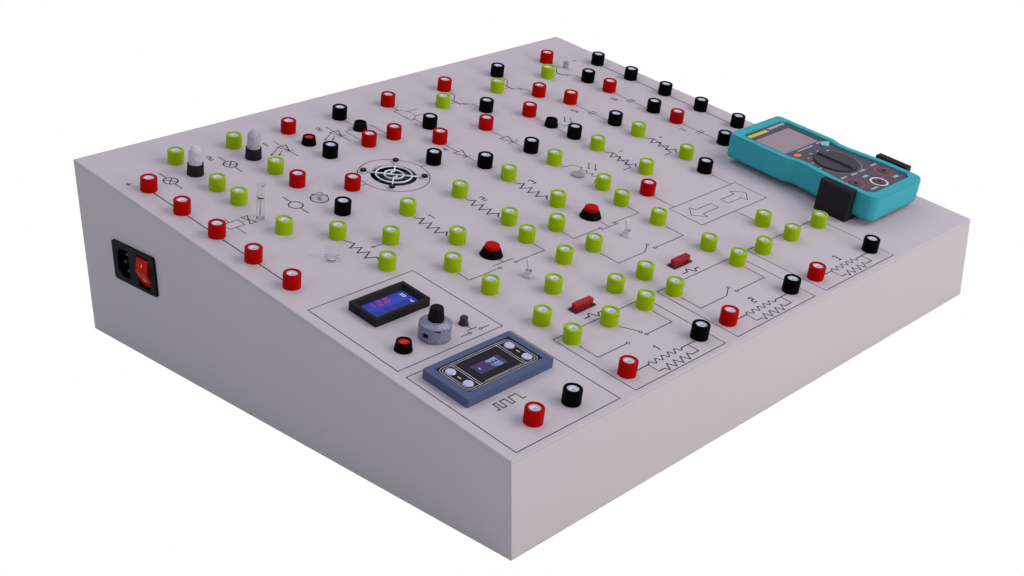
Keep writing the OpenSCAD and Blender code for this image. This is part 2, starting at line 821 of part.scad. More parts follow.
module dial_cap() {
    top_h = dial_mid_h + dial_cone_h;
    color("#111114")
    on_panel(dial_x, dial_s)
        rotate_extrude()
            polygon([[0, top_h], [cap_foot_r, top_h], [cap_foot_r, top_h + cap_wall_h],
                     [cap_top_r, top_h + dial_cap_h - cap_wall_h / 2],
                     [cap_top_r - cap_wall_h / 2, top_h + dial_cap_h], [0, top_h + dial_cap_h]]);
    color("silver")
    on_panel(dial_x, dial_s, -panel_t - pot_plate)
        cylinder(r = dial_shaft_r, h = top_h + cap_wall_h + panel_t + pot_plate);
}

// Multi-turn potentiometer below the panel, its bush through the panel
module dial_pot() {
    color("steelblue")
    on_panel(dial_x, dial_s)
    difference() {
        union() {
            translate([0, 0, -panel_t - pot_len])
                cylinder(r = pot_r, h = pot_len);
            translate([0, 0, -panel_t - eps])
                cylinder(r = dial_bush_r, h = panel_t + dial_bush_h + eps);
        }
        translate([0, 0, -panel_t - pot_plate - air_gap])
            cylinder(r = dial_shaft_r + run_gap, h = panel_t + pot_plate + dial_bush_h + 2 * eps);
    }
}

// Reset button: a short black plunger in a bush
reset_r = 2.9;
reset_top = 6;
reset_travel = 1.2;
reset_neck_r = 3.6;
reset_foot_h = 0.8;
reset_deep = 12;
reset_stop_t = 1;
module reset_body() {
    color("#242428")
    on_panel(reset_x, dial_s)
    difference() {
        translate([0, 0, -reset_deep])
            cylinder(r = reset_neck_r, h = reset_deep + reset_foot_h, $fn = fine);
        translate([0, 0, -reset_deep / 2])
            cylinder(r = reset_r - reset_stop_t + run_gap, h = reset_deep, $fn = fine);
        translate([0, 0, -reset_travel - air_gap])
            cylinder(r = reset_r + run_gap, h = reset_deep, $fn = fine);
    }
}

module reset_plunger() {
    color("#303036")
    on_panel(reset_x, dial_s)
        rotate_extrude($fn = fine)
            polygon([[0, -reset_deep / 2 + reset_travel + air_gap],
                     [reset_r - reset_stop_t, -reset_deep / 2 + reset_travel + air_gap],
                     [reset_r - reset_stop_t, 0], [reset_r, 0],
                     [reset_r, reset_top - reset_stop_t / 2],
                     [reset_r - reset_stop_t / 2, reset_top], [0, reset_top]]);
}

// Small black bezels: two hold red lamps, two hold dark sensors
cone_top_r = 5.3;
cone_neck_r = 4;
cone_neck_len = 12;
cone_bore_r = 4.3;
cone_well = 3;
lens_r = 4.2;
lens_drop = 0.3;
panel_lamp_counts = [8, 1];
sensor_counts = [[12, 1], [23, 4]];
lamp_cone_places = [grid(panel_lamp_counts[0], panel_lamp_counts[1]),
                    [body_w * overload_x_share, dial_s]];
sensor_cone_places = [for (step = sensor_counts) grid(step[0], step[1])];
cone_places = concat(lamp_cone_places, sensor_cone_places);

module small_bezel(bore_r, well) {
    rotate_extrude($fn = fine)
        polygon([[bore_r - well / 2, -cone_neck_len], [cone_neck_r, -cone_neck_len],
                 [cone_neck_r, 0], [cone_r, 0], [cone_top_r, cone_h],
                 [bore_r, cone_h], [bore_r, cone_h - well], [bore_r - well / 2, cone_h - well]]);
}

module lamp_bezels() {
    color("#121214")
        for (place = lamp_cone_places)
            on_panel(place[0], place[1]) small_bezel(cone_bore_r, cone_well);
}

// Each lens is a domed lamp that stands in its bezel and reaches down the neck
module lamp_lenses() {
    stem_r = cone_bore_r - cone_well / 2 - fit_gap;
    color("red")
        for (place = lamp_cone_places)
            on_panel(place[0], place[1])
                rotate_extrude($fn = fine)
                    polygon(concat(
                        [[0, -cone_neck_len], [stem_r, -cone_neck_len], [stem_r, cone_h - cone_well],
                         [lens_r, cone_h - cone_well]],
                        [for (i = [0:4]) [lens_r * cos(i * 90 / 4),
                                          cone_h - lens_drop - cone_well / 3
                                          + cone_well / 3 * sin(i * 90 / 4)]]));
}

module sensor_bezels() {
    color("#121214")
        for (place = sensor_cone_places)
            on_panel(place[0], place[1])
            union() {
                small_bezel(cone_bore_r, cone_well);
                translate([0, 0, -cone_neck_len])
                    cylinder(r = cone_bore_r - cone_well / 2, h = cone_neck_len + cone_h - cone_well / 2,
                             $fn = fine);
            }
}

// Push buttons: conical bezel and body, red cap on a guided stem
push_share = 0.3875;
push_s = panel_len * push_share;
push_neck_r = 5.8;
push_neck_len = 14;
push_stem_r = 3;
push_places = [for (box = [0, 1]) [box_x(box, 1), push_s]];
cap_under = 2.6;
cap_edge = 0.8;
module push_bodies() {
    color("#131316")
        for (place = push_places)
            on_panel(place[0], place[1])
                rotate_extrude()
                    polygon([[push_stem_r + run_gap, -push_neck_len],
                             [push_neck_r, -push_neck_len], [push_neck_r, 0], [bezel_r, 0],
                             [bezel_top_r, bezel_h], [cap_r + run_gap, bezel_h],
                             [cap_r + run_gap, bezel_h - cap_under - push_travel],
                             [push_stem_r + run_gap, bezel_h - cap_under - push_travel]]);
}

module push_cap(number) {
    place = push_places[number - 1];
    color("red")
    on_panel(place[0], place[1])
        rotate_extrude()
            polygon(concat(
                [[0, -push_neck_len + push_travel + air_gap],
                 [push_stem_r, -push_neck_len + push_travel + air_gap],
                 [push_stem_r, bezel_h - cap_under + air_gap],
                 [cap_r, bezel_h - cap_under + air_gap]],
                arc(cap_r - cap_edge, cap_h - cap_edge, cap_edge, 0, 90, 3),
                [[0, cap_h]]));
}

module push_cap_1() { push_cap(1); }
module push_cap_2() { push_cap(2); }

// Toggle switches: box below the panel, threaded bush with a nut, bat on a ball pivot
toggle_share = 0.3076;
toggle_s = panel_len * toggle_share;
toggle_places = [for (box = [0, 1]) [box_x(box, 1), toggle_s]];
toggle_box_w = 8;
toggle_box_d = 13;
toggle_box_len = 10;
toggle_nut_r = 4.6;
toggle_nut_t = 2;
bat_foot_r = 1;
bat_top_r = 1.4;
ball_r = 1.5;
bat_tail = 3;
pivot_h = 0.5;
bush_bore_r = 2.3;
bat_round_from = -20;
module toggle_bodies() {
    color("silver")
        for (place = toggle_places)
            on_panel(place[0], place[1])
            difference() {
                union() {
                    translate([-toggle_box_d / 2, -toggle_box_w / 2, -panel_t - toggle_box_len])
                        cube([toggle_box_d, toggle_box_w, toggle_box_len]);
                    translate([0, 0, -panel_t - eps])
                        cylinder(r = bush_r, h = panel_t + bush_h + eps, $fn = fine);
                    cylinder(r = toggle_nut_r, h = toggle_nut_t, $fn = 6);
                }
                translate([0, 0, pivot_h - ball_r - bat_tail - air_gap])
                    cylinder(r = bush_bore_r, h = bush_h + ball_r + bat_tail + 2 * eps, $fn = fine);
            }
}

// The bat hangs on a cross pin through the bush and tips along the slope
pin_cross_r = 0.5;
module toggle_bat(number) {
    place = toggle_places[number - 1];
    color("silver")
    on_panel(place[0], place[1], pivot_h)
        rotate([-bat_tilt, 0, 0]) {
            rotate_extrude($fn = fine)
                polygon(concat(
                    [[0, -bat_tail], [bat_foot_r, -bat_tail], [bat_foot_r, bat_len / 2],
                     [bat_top_r * 3 / 4, bat_len - bat_top_r]],
                    arc(0, bat_len - bat_top_r / 2, bat_top_r, bat_round_from, 90, 5)));
            rotate([0, 90, 0])
                cylinder(r = pin_cross_r, h = 2 * bush_bore_r - 2 * run_gap, center = true,
                         $fn = fine);
        }
}

module toggle_bat_1() { toggle_bat(1); }
module toggle_bat_2() { toggle_bat(2); }

// Blade fuses: holder let into the panel, fuse with two blades that pulls out
fuse_share = 0.1983;
fuse_s = panel_len * fuse_share;
fuse_wall = 1.6;
fuse_lip = 1;
fuse_rim_h = 0.8;
fuse_deep = 14;
fuse_seat = 3.2;
blade_w = 5;
blade_t = 0.8;
blade_len = 8;
blade_x = 5.6;
fuse_body_corner = 0.8;
fuse_window = 1.2;
fuse_places = [for (box = [0, 1]) [box_x(box, 1), fuse_s]];
module fuse_holders() {
    color("#1a1a1a")
        for (place = fuse_places)
            on_panel(place[0], place[1])
            difference() {
                union() {
                    round_plate(fuse_w + 2 * fuse_wall, fuse_d + 2 * fuse_wall, fuse_body_corner,
                                fuse_rim_h);
                    translate([0, 0, -fuse_deep])
                        linear_extrude(fuse_deep)
                            square([fuse_w + 2 * fuse_wall - fuse_lip - 2 * fit_gap,
                                    fuse_d + 2 * fuse_wall - fuse_lip - 2 * fit_gap],
                                   center = true);
                }
                translate([0, 0, -fuse_seat])
                    linear_extrude(fuse_seat + fuse_rim_h + eps)
                        square([fuse_w + 2 * air_gap, fuse_d + 2 * air_gap], center = true);
                for (x = [-1, 1])
                    translate([x * blade_x, 0, -fuse_seat - blade_len - air_gap])
                        linear_extrude(blade_len + air_gap + eps)
                            square([blade_w + 2 * air_gap, blade_t + 2 * air_gap], center = true);
            }
}

// Fuse body: wider head, waisted front, two blades
fuse_head_h = 2.4;
module fuse(number) {
    place = fuse_places[number - 1];
    on_panel(place[0], place[1]) {
        color("red")
        difference() {
            translate([0, 0, air_gap - fuse_seat])
                linear_extrude(fuse_h + fuse_seat - air_gap)
                    round_rect(fuse_w, fuse_d, fuse_body_corner);
            for (side = [-1, 1])
                translate([0, side * fuse_d / 2, fuse_rim_h])
                    linear_extrude(fuse_h - fuse_rim_h - fuse_head_h)
                        square([fuse_w - 4 * fuse_window, fuse_window], center = true);
        }
        color("silver")
        for (x = [-1, 1])
            translate([x * blade_x, 0, -fuse_seat - blade_len + air_gap])
                linear_extrude(blade_len + eps)
                    square([blade_w, blade_t], center = true);
    }
}

module fuse_1() { fuse(1); }
module fuse_2() { fuse(2); }

// Cooling experiment: a small fan under the panel behind a wire guard
fan_s = grid(0, 4)[1];
fan_screw_r = 1.5;
fan_head_r = 2.7;
fan_head_h = 1.5;
fan_deep = 10;
fan_corner = 4;
fan_hub_r = 8;
fan_post_r = 2.2;
fan_strut = 2.4;
fan_floor = 1.6;
blade_tip = 18.2;
blade_pitch = 38;
blade_sheet = 1.1;
blade_inset = 0.4;
root_share = 0.75;
ring_shares = [0.42, 0.78];
turned_share = 0.34;
fan_pin_r = 1.1;

module at_fan_screws() {
    for (x = [-1, 1])
        for (y = [-1, 1])
            translate([x * fan_pitch / 2, y * fan_pitch / 2, 0])
                children();
}

module fan_frame() {
    color("#1d1d20")
    on_panel(fan_x, fan_s, -panel_t - fan_deep)
    difference() {
        union() {
            difference() {
                round_plate(fan_size, fan_size, fan_corner, fan_deep);
                translate([0, 0, -eps])
                    cylinder(r = fan_open_r, h = fan_deep + 2 * eps);
            }
            for (turn = [0, 90, 180, 270])
                rotate([0, 0, turn + 45])
                    translate([0, -fan_strut / 2, 0])
                        cube([fan_open_r + fan_strut / 2, fan_strut, fan_floor]);
            cylinder(r = fan_hub_r, h = fan_floor);
            cylinder(r = fan_post_r, h = fan_floor * 2);
        }
        translate([0, 0, fan_floor])
            cylinder(r = fan_pin_r + run_gap, h = fan_deep, $fn = fine);
        translate([0, 0, -eps])
            at_fan_screws()
                cylinder(r = fan_screw_r + fit_gap, h = fan_deep + 2 * eps, $fn = fine);
    }
}

// Rotor: hub with a pin in the frame's post and pitched blades round it
module fan_rotor() {
    hub_foot = fan_floor * 2 + air_gap;
    hub_h = fan_deep - hub_foot - air_gap;
    color("#242428")
    on_panel(fan_x, fan_s, -panel_t - fan_deep) {
        translate([0, 0, hub_foot])
            cylinder(r = fan_hub_r, h = hub_h);
        translate([0, 0, fan_floor + air_gap])
            cylinder(r = fan_pin_r, h = hub_foot, $fn = fine);
        for (k = [0:fan_blades - 1])
            rotate([0, 0, k * 360 / fan_blades])
                intersection() {
                    translate([0, 0, hub_foot + hub_h / 2])
                        rotate([blade_pitch, 0, 0])
                            translate([fan_hub_r * root_share, -hub_h, -blade_sheet / 2])
                                cube([blade_tip, 2 * hub_h, blade_sheet]);
                    translate([0, 0, hub_foot + blade_inset])
                        cylinder(r = blade_tip, h = hub_h - 2 * blade_inset);
                }
    }
}

// A ring of wire seen from above
module wire_ring(r) {
    difference() {
        circle(r + wire_r);
        circle(r - wire_r);
    }
}

// Guard: two rings and four arms to the screws, two of them bent into a turn at the middle
module fan_guard() {
    turn_r = fan_open_r * ring_shares[0] * turned_share;
    reach = fan_pitch / sqrt(2);
    color("white")
    on_panel(fan_x, fan_s)
        linear_extrude(2 * wire_r)
            difference() {
                union() {
                    for (share = ring_shares)
                        wire_ring(fan_open_r * share);
                    for (arm = [[45, 2 * turn_r], [135, 0], [225, 2 * turn_r], [315, 0]])
                        rotate([0, 0, arm[0]])
                            translate([arm[1] - wire_r, -wire_r])
                                square([reach - arm[1] + wire_r, 2 * wire_r]);
                    for (turn = [0, 180])
                        rotate([0, 0, turn + 45])
                            translate([turn_r, 0])
                                intersection() {
                                    wire_ring(turn_r);
                                    translate([-2 * turn_r, 0])
                                        square([4 * turn_r, 2 * turn_r]);
                                }
                    at_fan_screws()
                        circle(fan_head_r);
                }
                at_fan_screws()
                    circle(fan_screw_r + fit_gap);
            }
}

module fan_screws() {
    color("#101012")
    on_panel(fan_x, fan_s)
        at_fan_screws() {
            translate([0, 0, 2 * wire_r])
                cylinder(r = fan_head_r, h = fan_head_h, $fn = fine);
            translate([0, 0, -panel_t - fan_deep])
                cylinder(r = fan_screw_r, h = panel_t + fan_deep + 3 * wire_r, $fn = fine);
        }
}

// Motor experiment: motor can below the panel, clear disc on its shaft
motor_place = grid(4, 4);
motor_r = 12;
motor_len = 20;
motor_shaft_r = 1;
shaft_rise = 11;
disc_lift = 1;
disc_t = 1.6;
disc_hub_r = 2.2;
disc_hub_h = 4;
shaft_seat = 6;
module motor_can() {
    color("silver")
    on_panel(motor_place[0], motor_place[1], -panel_t - motor_len)
    difference() {
        cylinder(r = motor_r, h = motor_len);
        translate([0, 0, motor_len - shaft_seat - air_gap])
            cylinder(r = motor_shaft_r + run_gap, h = shaft_seat + air_gap + eps, $fn = fine);
    }
}

module motor_disc() {
    on_panel(motor_place[0], motor_place[1]) {
        color("silver")
            translate([0, 0, -panel_t - shaft_seat])
                cylinder(r = motor_shaft_r, h = panel_t + shaft_seat + shaft_rise, $fn = fine);
        color("lightcyan")
            translate([0, 0, disc_lift]) {
                cylinder(r = disc_r, h = disc_t);
                cylinder(r = disc_hub_r, h = disc_hub_h, $fn = fine);
            }
    }
}

// Clear knob on a small potentiometer
knob_shares = [0.1199, 0.513];
knob_x = body_w * knob_shares[0];
knob_s = panel_len * knob_shares[1];
knob_r = 5.6;
knob_top_r = 5.1;
knob_h = 12.4;
knob_skirt_h = 1.6;
shaft_r = 3;
knob_pot_r = 8;
knob_pot_len = 10;
knob_bush_len = 6;
pointer_w = 0.8;
module knob_pot() {
    color("#333338")
    on_panel(knob_x, knob_s, -panel_t - knob_pot_len)
    difference() {
        cylinder(r = knob_pot_r, h = knob_pot_len);
        translate([0, 0, knob_pot_len - knob_bush_len - air_gap])
            cylinder(r = shaft_r + run_gap, h = knob_bush_len + air_gap + eps);
    }
}

module clear_knob() {
    on_panel(knob_x, knob_s) {
        color("gainsboro")
        difference() {
            rotate_extrude()
                polygon([[0, air_gap], [knob_r + knob_skirt_h / 2, air_gap],
                         [knob_r, knob_skirt_h], [knob_top_r, knob_h - pointer_w],
                         [knob_top_r - pointer_w, knob_h], [0, knob_h]]);
            translate([0, -pointer_w / 2, knob_h - pointer_w])
                cube([knob_r, pointer_w, knob_h]);
        }
        color("silver")
            translate([0, 0, -panel_t - knob_bush_len])
                cylinder(r = shaft_r, h = panel_t + knob_bush_len + 2 * air_gap);
    }
}

// Solenoid: coil below the panel, clear tube through it, iron plunger inside
tube_x_share = 0.1114;
tube_shift = 1;
tube_x = body_w * tube_x_share;
tube_s = grid(0, 4)[1] - tube_shift;
tube_wall = 0.7;
coil_r = 9;
coil_len = 26;
coil_cheek = 1.5;
plunger_r = 2.2;
plunger_len = 24;
ring_h = 18.6;
ring_t = 2.4;
tube_top_t = 1;
module solenoid_coil() {
    color("chocolate")
    on_panel(tube_x, tube_s, -panel_t - coil_len)
    difference() {
        union() {
            cylinder(r = coil_r, h = coil_cheek);
            cylinder(r = coil_r - coil_cheek, h = coil_len);
            translate([0, 0, coil_len - coil_cheek])
                cylinder(r = coil_r, h = coil_cheek);
        }
        translate([0, 0, coil_cheek])
            cylinder(r = tube_r + fit_gap, h = coil_len);
    }
}

module solenoid_tube() {
    foot = coil_len - coil_cheek;
    color("whitesmoke")
    on_panel(tube_x, tube_s, -panel_t - foot)
        difference() {
            cylinder(r = tube_r, h = foot + panel_t + tube_h, $fn = fine);
            translate([0, 0, tube_top_t])
                cylinder(r = tube_r - tube_wall, h = foot + panel_t + tube_h - 2 * tube_top_t,
                         $fn = fine);
        }
}

// The plunger rests on the tube's floor and carries a thin rod with a marker ring
module solenoid_plunger() {
    floor_h = -panel_t - coil_len + coil_cheek + tube_top_t + air_gap;
    color("#8a2f2a")
    on_panel(tube_x, tube_s) {
        translate([0, 0, floor_h])
            cylinder(r = plunger_r, h = plunger_len, $fn = fine);
        translate([0, 0, floor_h])
            cylinder(r = plunger_r / 3, h = ring_h - floor_h, $fn = fine);
        translate([0, 0, ring_h - ring_t])
            cylinder(r = plunger_r, h = ring_t, $fn = fine);
    }
}

// Lamps of the bulb experiment
holder_neck_r = 5;
holder_neck_len = 11;
holder_taper = 0.4;
bulb_seat = 6;
bulb_neck_r = 3.5;
function lamp_place(column) =
    [grid(column, 0)[0] + lamp_shift, grid(column, 0)[1] - panel_len * lamp_back_share];
lamp_shift = 0.9;
module lamp_holders() {
    color("#232026")
        for (column = [0, 4])
            on_panel(lamp_place(column)[0], lamp_place(column)[1])
                rotate_extrude()
                    polygon([[0, -holder_neck_len], [holder_neck_r, -holder_neck_len],
                             [holder_neck_r, 0], [holder_r, 0], [holder_r - holder_taper, holder_h],
                             [bulb_r + fit_gap, holder_h], [bulb_r + fit_gap, holder_h - cone_well],
                             [bulb_neck_r + fit_gap, holder_h - cone_well],
                             [bulb_neck_r + fit_gap, holder_h - bulb_seat - cone_well],
                             [0, holder_h - bulb_seat - cone_well]]);
}

module lamp_bulbs() {
    foot = holder_h - cone_well;
    color("lavender")
        for (column = [0, 4])
            on_panel(lamp_place(column)[0], lamp_place(column)[1])
                rotate_extrude()
                    polygon(concat(
                        [[0, foot - bulb_seat], [bulb_neck_r, foot - bulb_seat],
                         [bulb_neck_r, foot], [bulb_r, foot]],
                        arc(0, bulb_top - bulb_r, bulb_r, 0, 90, 6)));
}

// Heat sensor and light cell, each on two leads through the panel
heat_shares = [0.8969, 0.8636];
heat_place = [body_w * heat_shares[0], panel_len * heat_shares[1]];
heat_r = 2.65;
heat_h = 7.3;
cell_r = 5.7;
cell_h = 2;
lead_r = 0.5;
lead_gap = 1.6;
lead_len = 8;
cell_counts = [19, 7];
cell_place = grid(cell_counts[0], cell_counts[1]);
sensor_lead_places = [for (place = [heat_place, cell_place]) for (side = [-1, 1])
    [place[0] + side * lead_gap, place[1]]];
module small_sensors() {
    color("gray")
        on_panel(heat_place[0], heat_place[1])
            cylinder(r = heat_r, h = heat_h, $fn = fine);
    color("tan")
        on_panel(cell_place[0], cell_place[1])
            cylinder(r = cell_r, h = cell_h);
    color("silver")
        for (place = sensor_lead_places)
            on_panel(place[0], place[1], -lead_len)
                cylinder(r = lead_r, h = lead_len + eps, $fn = fine);
}

// Pocket meter: rubber holster round a flat meter, in places of its own
// (x from its middle line, s from its front end, h from its back)
pocket_seat = 0.3;
pocket_base = cradle_t + pocket_seat;
corner_front = 8;
corner_back = 5;
waist_shares = [0.26, 0.48, 0.54, 0.6];
draft = 1.6;
rim_w = 6.6;
face_front = 9.2;
face_back = 8.8;
face_corner = 5;
face_t = 3;
module on_pocket(x, s, h = 0) {
    on_panel(pocket_x, pocket_front, pocket_base)
        translate([x, s, h])
            children();
}

// Half outline of the holster or of its face, from the front end to the back
function waist(inset) = [
    [pocket_front_w / 2 - inset, pocket_len * waist_shares[0]],
    [pocket_waist_w / 2 - inset, pocket_len * waist_shares[1]],
    [pocket_waist_w / 2 - inset, pocket_len * waist_shares[2]],
    [pocket_back_w / 2 - inset, pocket_len * waist_shares[3]]];
function holster_half(inset) = concat(
    [[0, inset]],
    arc(pocket_front_w / 2 - corner_front, corner_front, corner_front - inset, -90, 0, 4),
    waist(inset),
    arc(pocket_back_w / 2 - corner_back, pocket_len - corner_back, corner_back - inset, 0, 90, 4),
    [[0, pocket_len - inset]]);
function face_half(gap) =
    let (front = face_front + gap, back = pocket_len - face_back - gap, side = rim_w + gap)
    concat(
        [[0, front], [pocket_front_w / 2 - side - face_corner, front],
         [pocket_front_w / 2 - side, front + face_corner]],
        waist(side),
        [[pocket_back_w / 2 - side, back - face_corner],
         [pocket_back_w / 2 - side - face_corner, back], [0, back]]);
module both_halves(points) {
    for (side = [0, 1])
        mirror([side, 0, 0])
            polygon(points);
}

module pocket_holster() {
    color("#2b8795")
    on_pocket(0, 0)
    difference() {
        union() {
            linear_extrude(pocket_h)
                both_halves(holster_half(draft / 2));
            translate([0, 0, draft])
                linear_extrude(pocket_h - 2 * draft)
                    both_halves(holster_half(0));
        }
        translate([0, 0, pocket_h - face_drop - face_t])
            linear_extrude(face_t + face_drop + eps)
                both_halves(face_half(0));
        for (place = jack_places)
            translate([place[0], place[1], pocket_h - face_drop - jack_deep])
                cylinder(r = jack_bush_r + fit_gap, h = jack_deep + eps, $fn = fine);
        translate([selector_place[0], selector_place[1], pocket_h - face_drop - face_t - selector_axle])
            cylinder(r = axle_r + run_gap, h = selector_axle + eps, $fn = fine);
        translate([hold_place[0], hold_place[1], pocket_h - face_drop - face_t - hold_travel - air_gap])
            cylinder(r = hold_r + hold_flange + air_gap, h = hold_travel + 2 * air_gap + eps,
                     $fn = fine);
    }
}

// Meter face plate with its jacks, the seat of the selector and the hole of the button
jack_places = [[-23.5, 30.5], [-1.3, 20.6], [22.2, 30.5]];
jack_bush_r = 3.6;
jack_deep = 15;
jack_ring_r = 4.6;
jack_ring_h = 0.6;
selector_place = [-0.7, 65];
selector_t = 1.2;
grip_w = 6;
grip_h = 2;
selector_axle = 5;
axle_r = 2.5;
hold_place = [24, 93.4];
hold_r = 4;
hold_rise = 1.2;
hold_travel = 0.8;
hold_flange = 0.8;
display_w = 54;
display_d = 34;
display_s = 118;
display_t = 0.6;
module pocket_front_plate() {
    color("#4d4b52")
    on_pocket(0, 0, pocket_h - face_drop - face_t)
    difference() {
        union() {
            linear_extrude(face_t)
                both_halves(face_half(fit_gap));
            for (place = jack_places)
                translate([place[0], place[1], face_t]) {
                    translate([0, 0, -jack_deep])
                        cylinder(r = jack_bush_r, h = jack_deep, $fn = fine);
                    cylinder(r = jack_ring_r, h = jack_ring_h, $fn = fine);
                }
        }
        for (place = jack_places)
            translate([place[0], place[1], face_t + jack_ring_h - jack_deep + eps])
                cylinder(r = plug_bore_r, h = jack_deep + eps, $fn = fine);
        translate([selector_place[0], selector_place[1], -eps])
            cylinder(r = axle_r + run_gap, h = face_t + 2 * eps, $fn = fine);
        translate([hold_place[0], hold_place[1], -eps])
            cylinder(r = hold_r + air_gap, h = face_t + 2 * eps, $fn = fine);
        translate([0, display_s, face_t - display_t])
            linear_extrude(display_t + eps)
                square([display_w, display_d], center = true);
    }
}

// Selector: a flat disc with a raised grip bar and an axle into the meter
module pocket_selector() {
    color("#3a383e")
    on_pocket(selector_place[0], selector_place[1], pocket_h - face_drop + air_gap) {
        cylinder(r = selector_r, h = selector_t);
        translate([0, 0, -face_t - selector_axle + 2 * air_gap])
            cylinder(r = axle_r, h = face_t + selector_axle, $fn = fine);
        intersection() {
            cylinder(r1 = selector_r, r2 = selector_r - grip_h / 2, h = selector_t + grip_h);
            translate([-grip_w / 2, -selector_r, 0])
                cube([grip_w, 2 * selector_r, selector_t + grip_h]);
        }
    }
}

module pocket_button() {
    color("#5aa7b5")
    on_pocket(hold_place[0], hold_place[1], pocket_h - face_drop)
        rotate_extrude($fn = fine)
            polygon([[0, -face_t - air_gap], [hold_r + hold_flange, -face_t - air_gap],
                     [hold_r + hold_flange, -face_t - air_gap / 2], [hold_r, -face_t - air_gap / 2],
                     [hold_r, hold_rise - hold_travel / 2], [hold_r - hold_travel / 2, hold_rise],
                     [0, hold_rise]]);
}

// Cradle: a U with a flat base, screwed to the panel from below
cradle_shift = 34.4;
cradle_s = pocket_front + cradle_shift;
cradle_gap = 0.4;
cradle_screw_x = 18;
cradle_corner = 1.5;
module meter_cradle() {
    inner = pocket_front_w / 2 + cradle_gap;
    outer = inner + arm_t;
    color("#17161a")
    on_panel(pocket_x, cradle_s)
    difference() {
        rotate([90, 0, 0])
            translate([0, 0, -arm_len / 2])
                linear_extrude(arm_len)
                    polygon([[-outer, 0], [outer, 0], [outer, arm_h - cradle_corner],
                             [outer - cradle_corner, arm_h], [inner, arm_h], [inner, cradle_t],
                             [-inner, cradle_t], [-inner, arm_h], [-outer + cradle_corner, arm_h],
                             [-outer, arm_h - cradle_corner]]);
        for (x = [-1, 1])
            translate([x * cradle_screw_x, 0, -eps])
                cylinder(r = base_screw_r, h = cradle_t - wall_t, $fn = fine);
    }
}

// Power supply box on the base plate, beside the inlet
supply_box = [98, 129, 38];
supply_box_shares = [0.1049, 0.2459];
module power_supply() {
    color("lightsteelblue")
    translate([body_w * (supply_box_shares[0] - 0.5), body_d * supply_box_shares[1],
               foot_h + base_t])
        translate([0, -supply_box[1] / 2, 0])
            cube(supply_box);
}

housing_shell();
base_plate();
rubber_feet();
base_screws();
top_panel();
red_sockets();
black_sockets();
green_sockets();
socket_contacts();
socket_nuts();
inlet_body();
inlet_pins();
power_rocker();
supply_meter_case();
supply_meter_screen();
pulse_frame();
pulse_face();
pulse_screen();
pulse_key_1();
pulse_key_2();
pulse_key_3();
pulse_key_4();
dial_housing();
dial_scale_ring();
dial_cap();
dial_pot();
reset_body();
reset_plunger();
lamp_bezels();
lamp_lenses();
sensor_bezels();
push_bodies();
push_cap_1();
push_cap_2();
toggle_bodies();
toggle_bat_1();
toggle_bat_2();
fuse_holders();
fuse_1();
fuse_2();
fan_frame();
fan_rotor();
fan_guard();
fan_screws();
motor_can();
motor_disc();
knob_pot();
clear_knob();
solenoid_coil();
solenoid_tube();
solenoid_plunger();
lamp_holders();
lamp_bulbs();
small_sensors();
pocket_holster();
pocket_front_plate();
pocket_selector();
pocket_button();
meter_cradle();
power_supply();
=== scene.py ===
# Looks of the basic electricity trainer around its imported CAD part.
# Panel places are given as on the part: x from the left edge, s up the slope, h above it, in millimetres.
import math

import bmesh
import bpy
from mathutils import Matrix, Vector


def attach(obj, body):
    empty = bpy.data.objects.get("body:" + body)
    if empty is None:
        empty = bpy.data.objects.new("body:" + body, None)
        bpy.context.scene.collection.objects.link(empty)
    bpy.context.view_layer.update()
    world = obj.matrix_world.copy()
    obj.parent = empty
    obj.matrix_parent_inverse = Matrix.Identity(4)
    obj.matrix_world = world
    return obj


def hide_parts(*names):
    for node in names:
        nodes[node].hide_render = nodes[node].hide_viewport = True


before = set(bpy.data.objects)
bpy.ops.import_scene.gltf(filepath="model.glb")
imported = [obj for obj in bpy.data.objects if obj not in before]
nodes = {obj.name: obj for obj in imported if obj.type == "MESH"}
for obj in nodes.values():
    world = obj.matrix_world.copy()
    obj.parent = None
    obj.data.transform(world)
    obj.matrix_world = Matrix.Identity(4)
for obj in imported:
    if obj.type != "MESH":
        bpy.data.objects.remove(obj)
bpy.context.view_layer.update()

# View, light and floor.
# The photo is a studio picture on white: a warm soft light from the front right, a cool fill on
# the left side, and hardly any shadow on the ground. The camera stands where a fit to the
# housing's corners in the photo puts it.
scene = bpy.context.scene
camera = bpy.data.objects.new("camera", bpy.data.cameras.new("camera"))
camera.location = (-0.8194, -0.7620, 0.5143)
camera.rotation_euler = (math.radians(90 - 23.655), 0, math.radians(-45.88))
camera.data.lens = 50
camera.data.sensor_width = 36
scene.collection.objects.link(camera)
scene.camera = camera
scene.view_settings.view_transform = "Standard"


def srgb(red, green, blue):
    """A colour written as it looks, 0 to 255, as the light values that materials use."""
    return tuple((c / 255 / 12.92) if c <= 10 else ((c / 255 + 0.055) / 1.055) ** 2.4
                 for c in (red, green, blue)) + (1,)


def soft_light(name, place, target, size, power, colour):
    """A round area light at a place, turned to its target."""
    data = bpy.data.lights.new(name, "AREA")
    data.shape = "DISK"
    data.size = size
    data.energy = power
    data.color = colour
    light = bpy.data.objects.new(name, data)
    light.location = place
    light.rotation_euler = (Vector(target) - Vector(place)).to_track_quat("-Z", "Y").to_euler()
    scene.collection.objects.link(light)


soft_light("key", (1.3, -1.5, 1.9), (0, 0, 0.08), 1.6, 29, (1.0, 0.94, 0.90))
soft_light("front", (0.35, -2.4, 0.45), (0, 0, 0.05), 1.4, 24, (1.0, 0.93, 0.90))
soft_light("fill", (-2.2, 0.3, 1.0), (0, 0, 0.08), 1.8, 7.6, (0.80, 0.86, 1.0))
soft_light("top", (0.2, 0.9, 2.2), (0, 0, 0.08), 1.8, 12, (0.92, 0.93, 1.0))

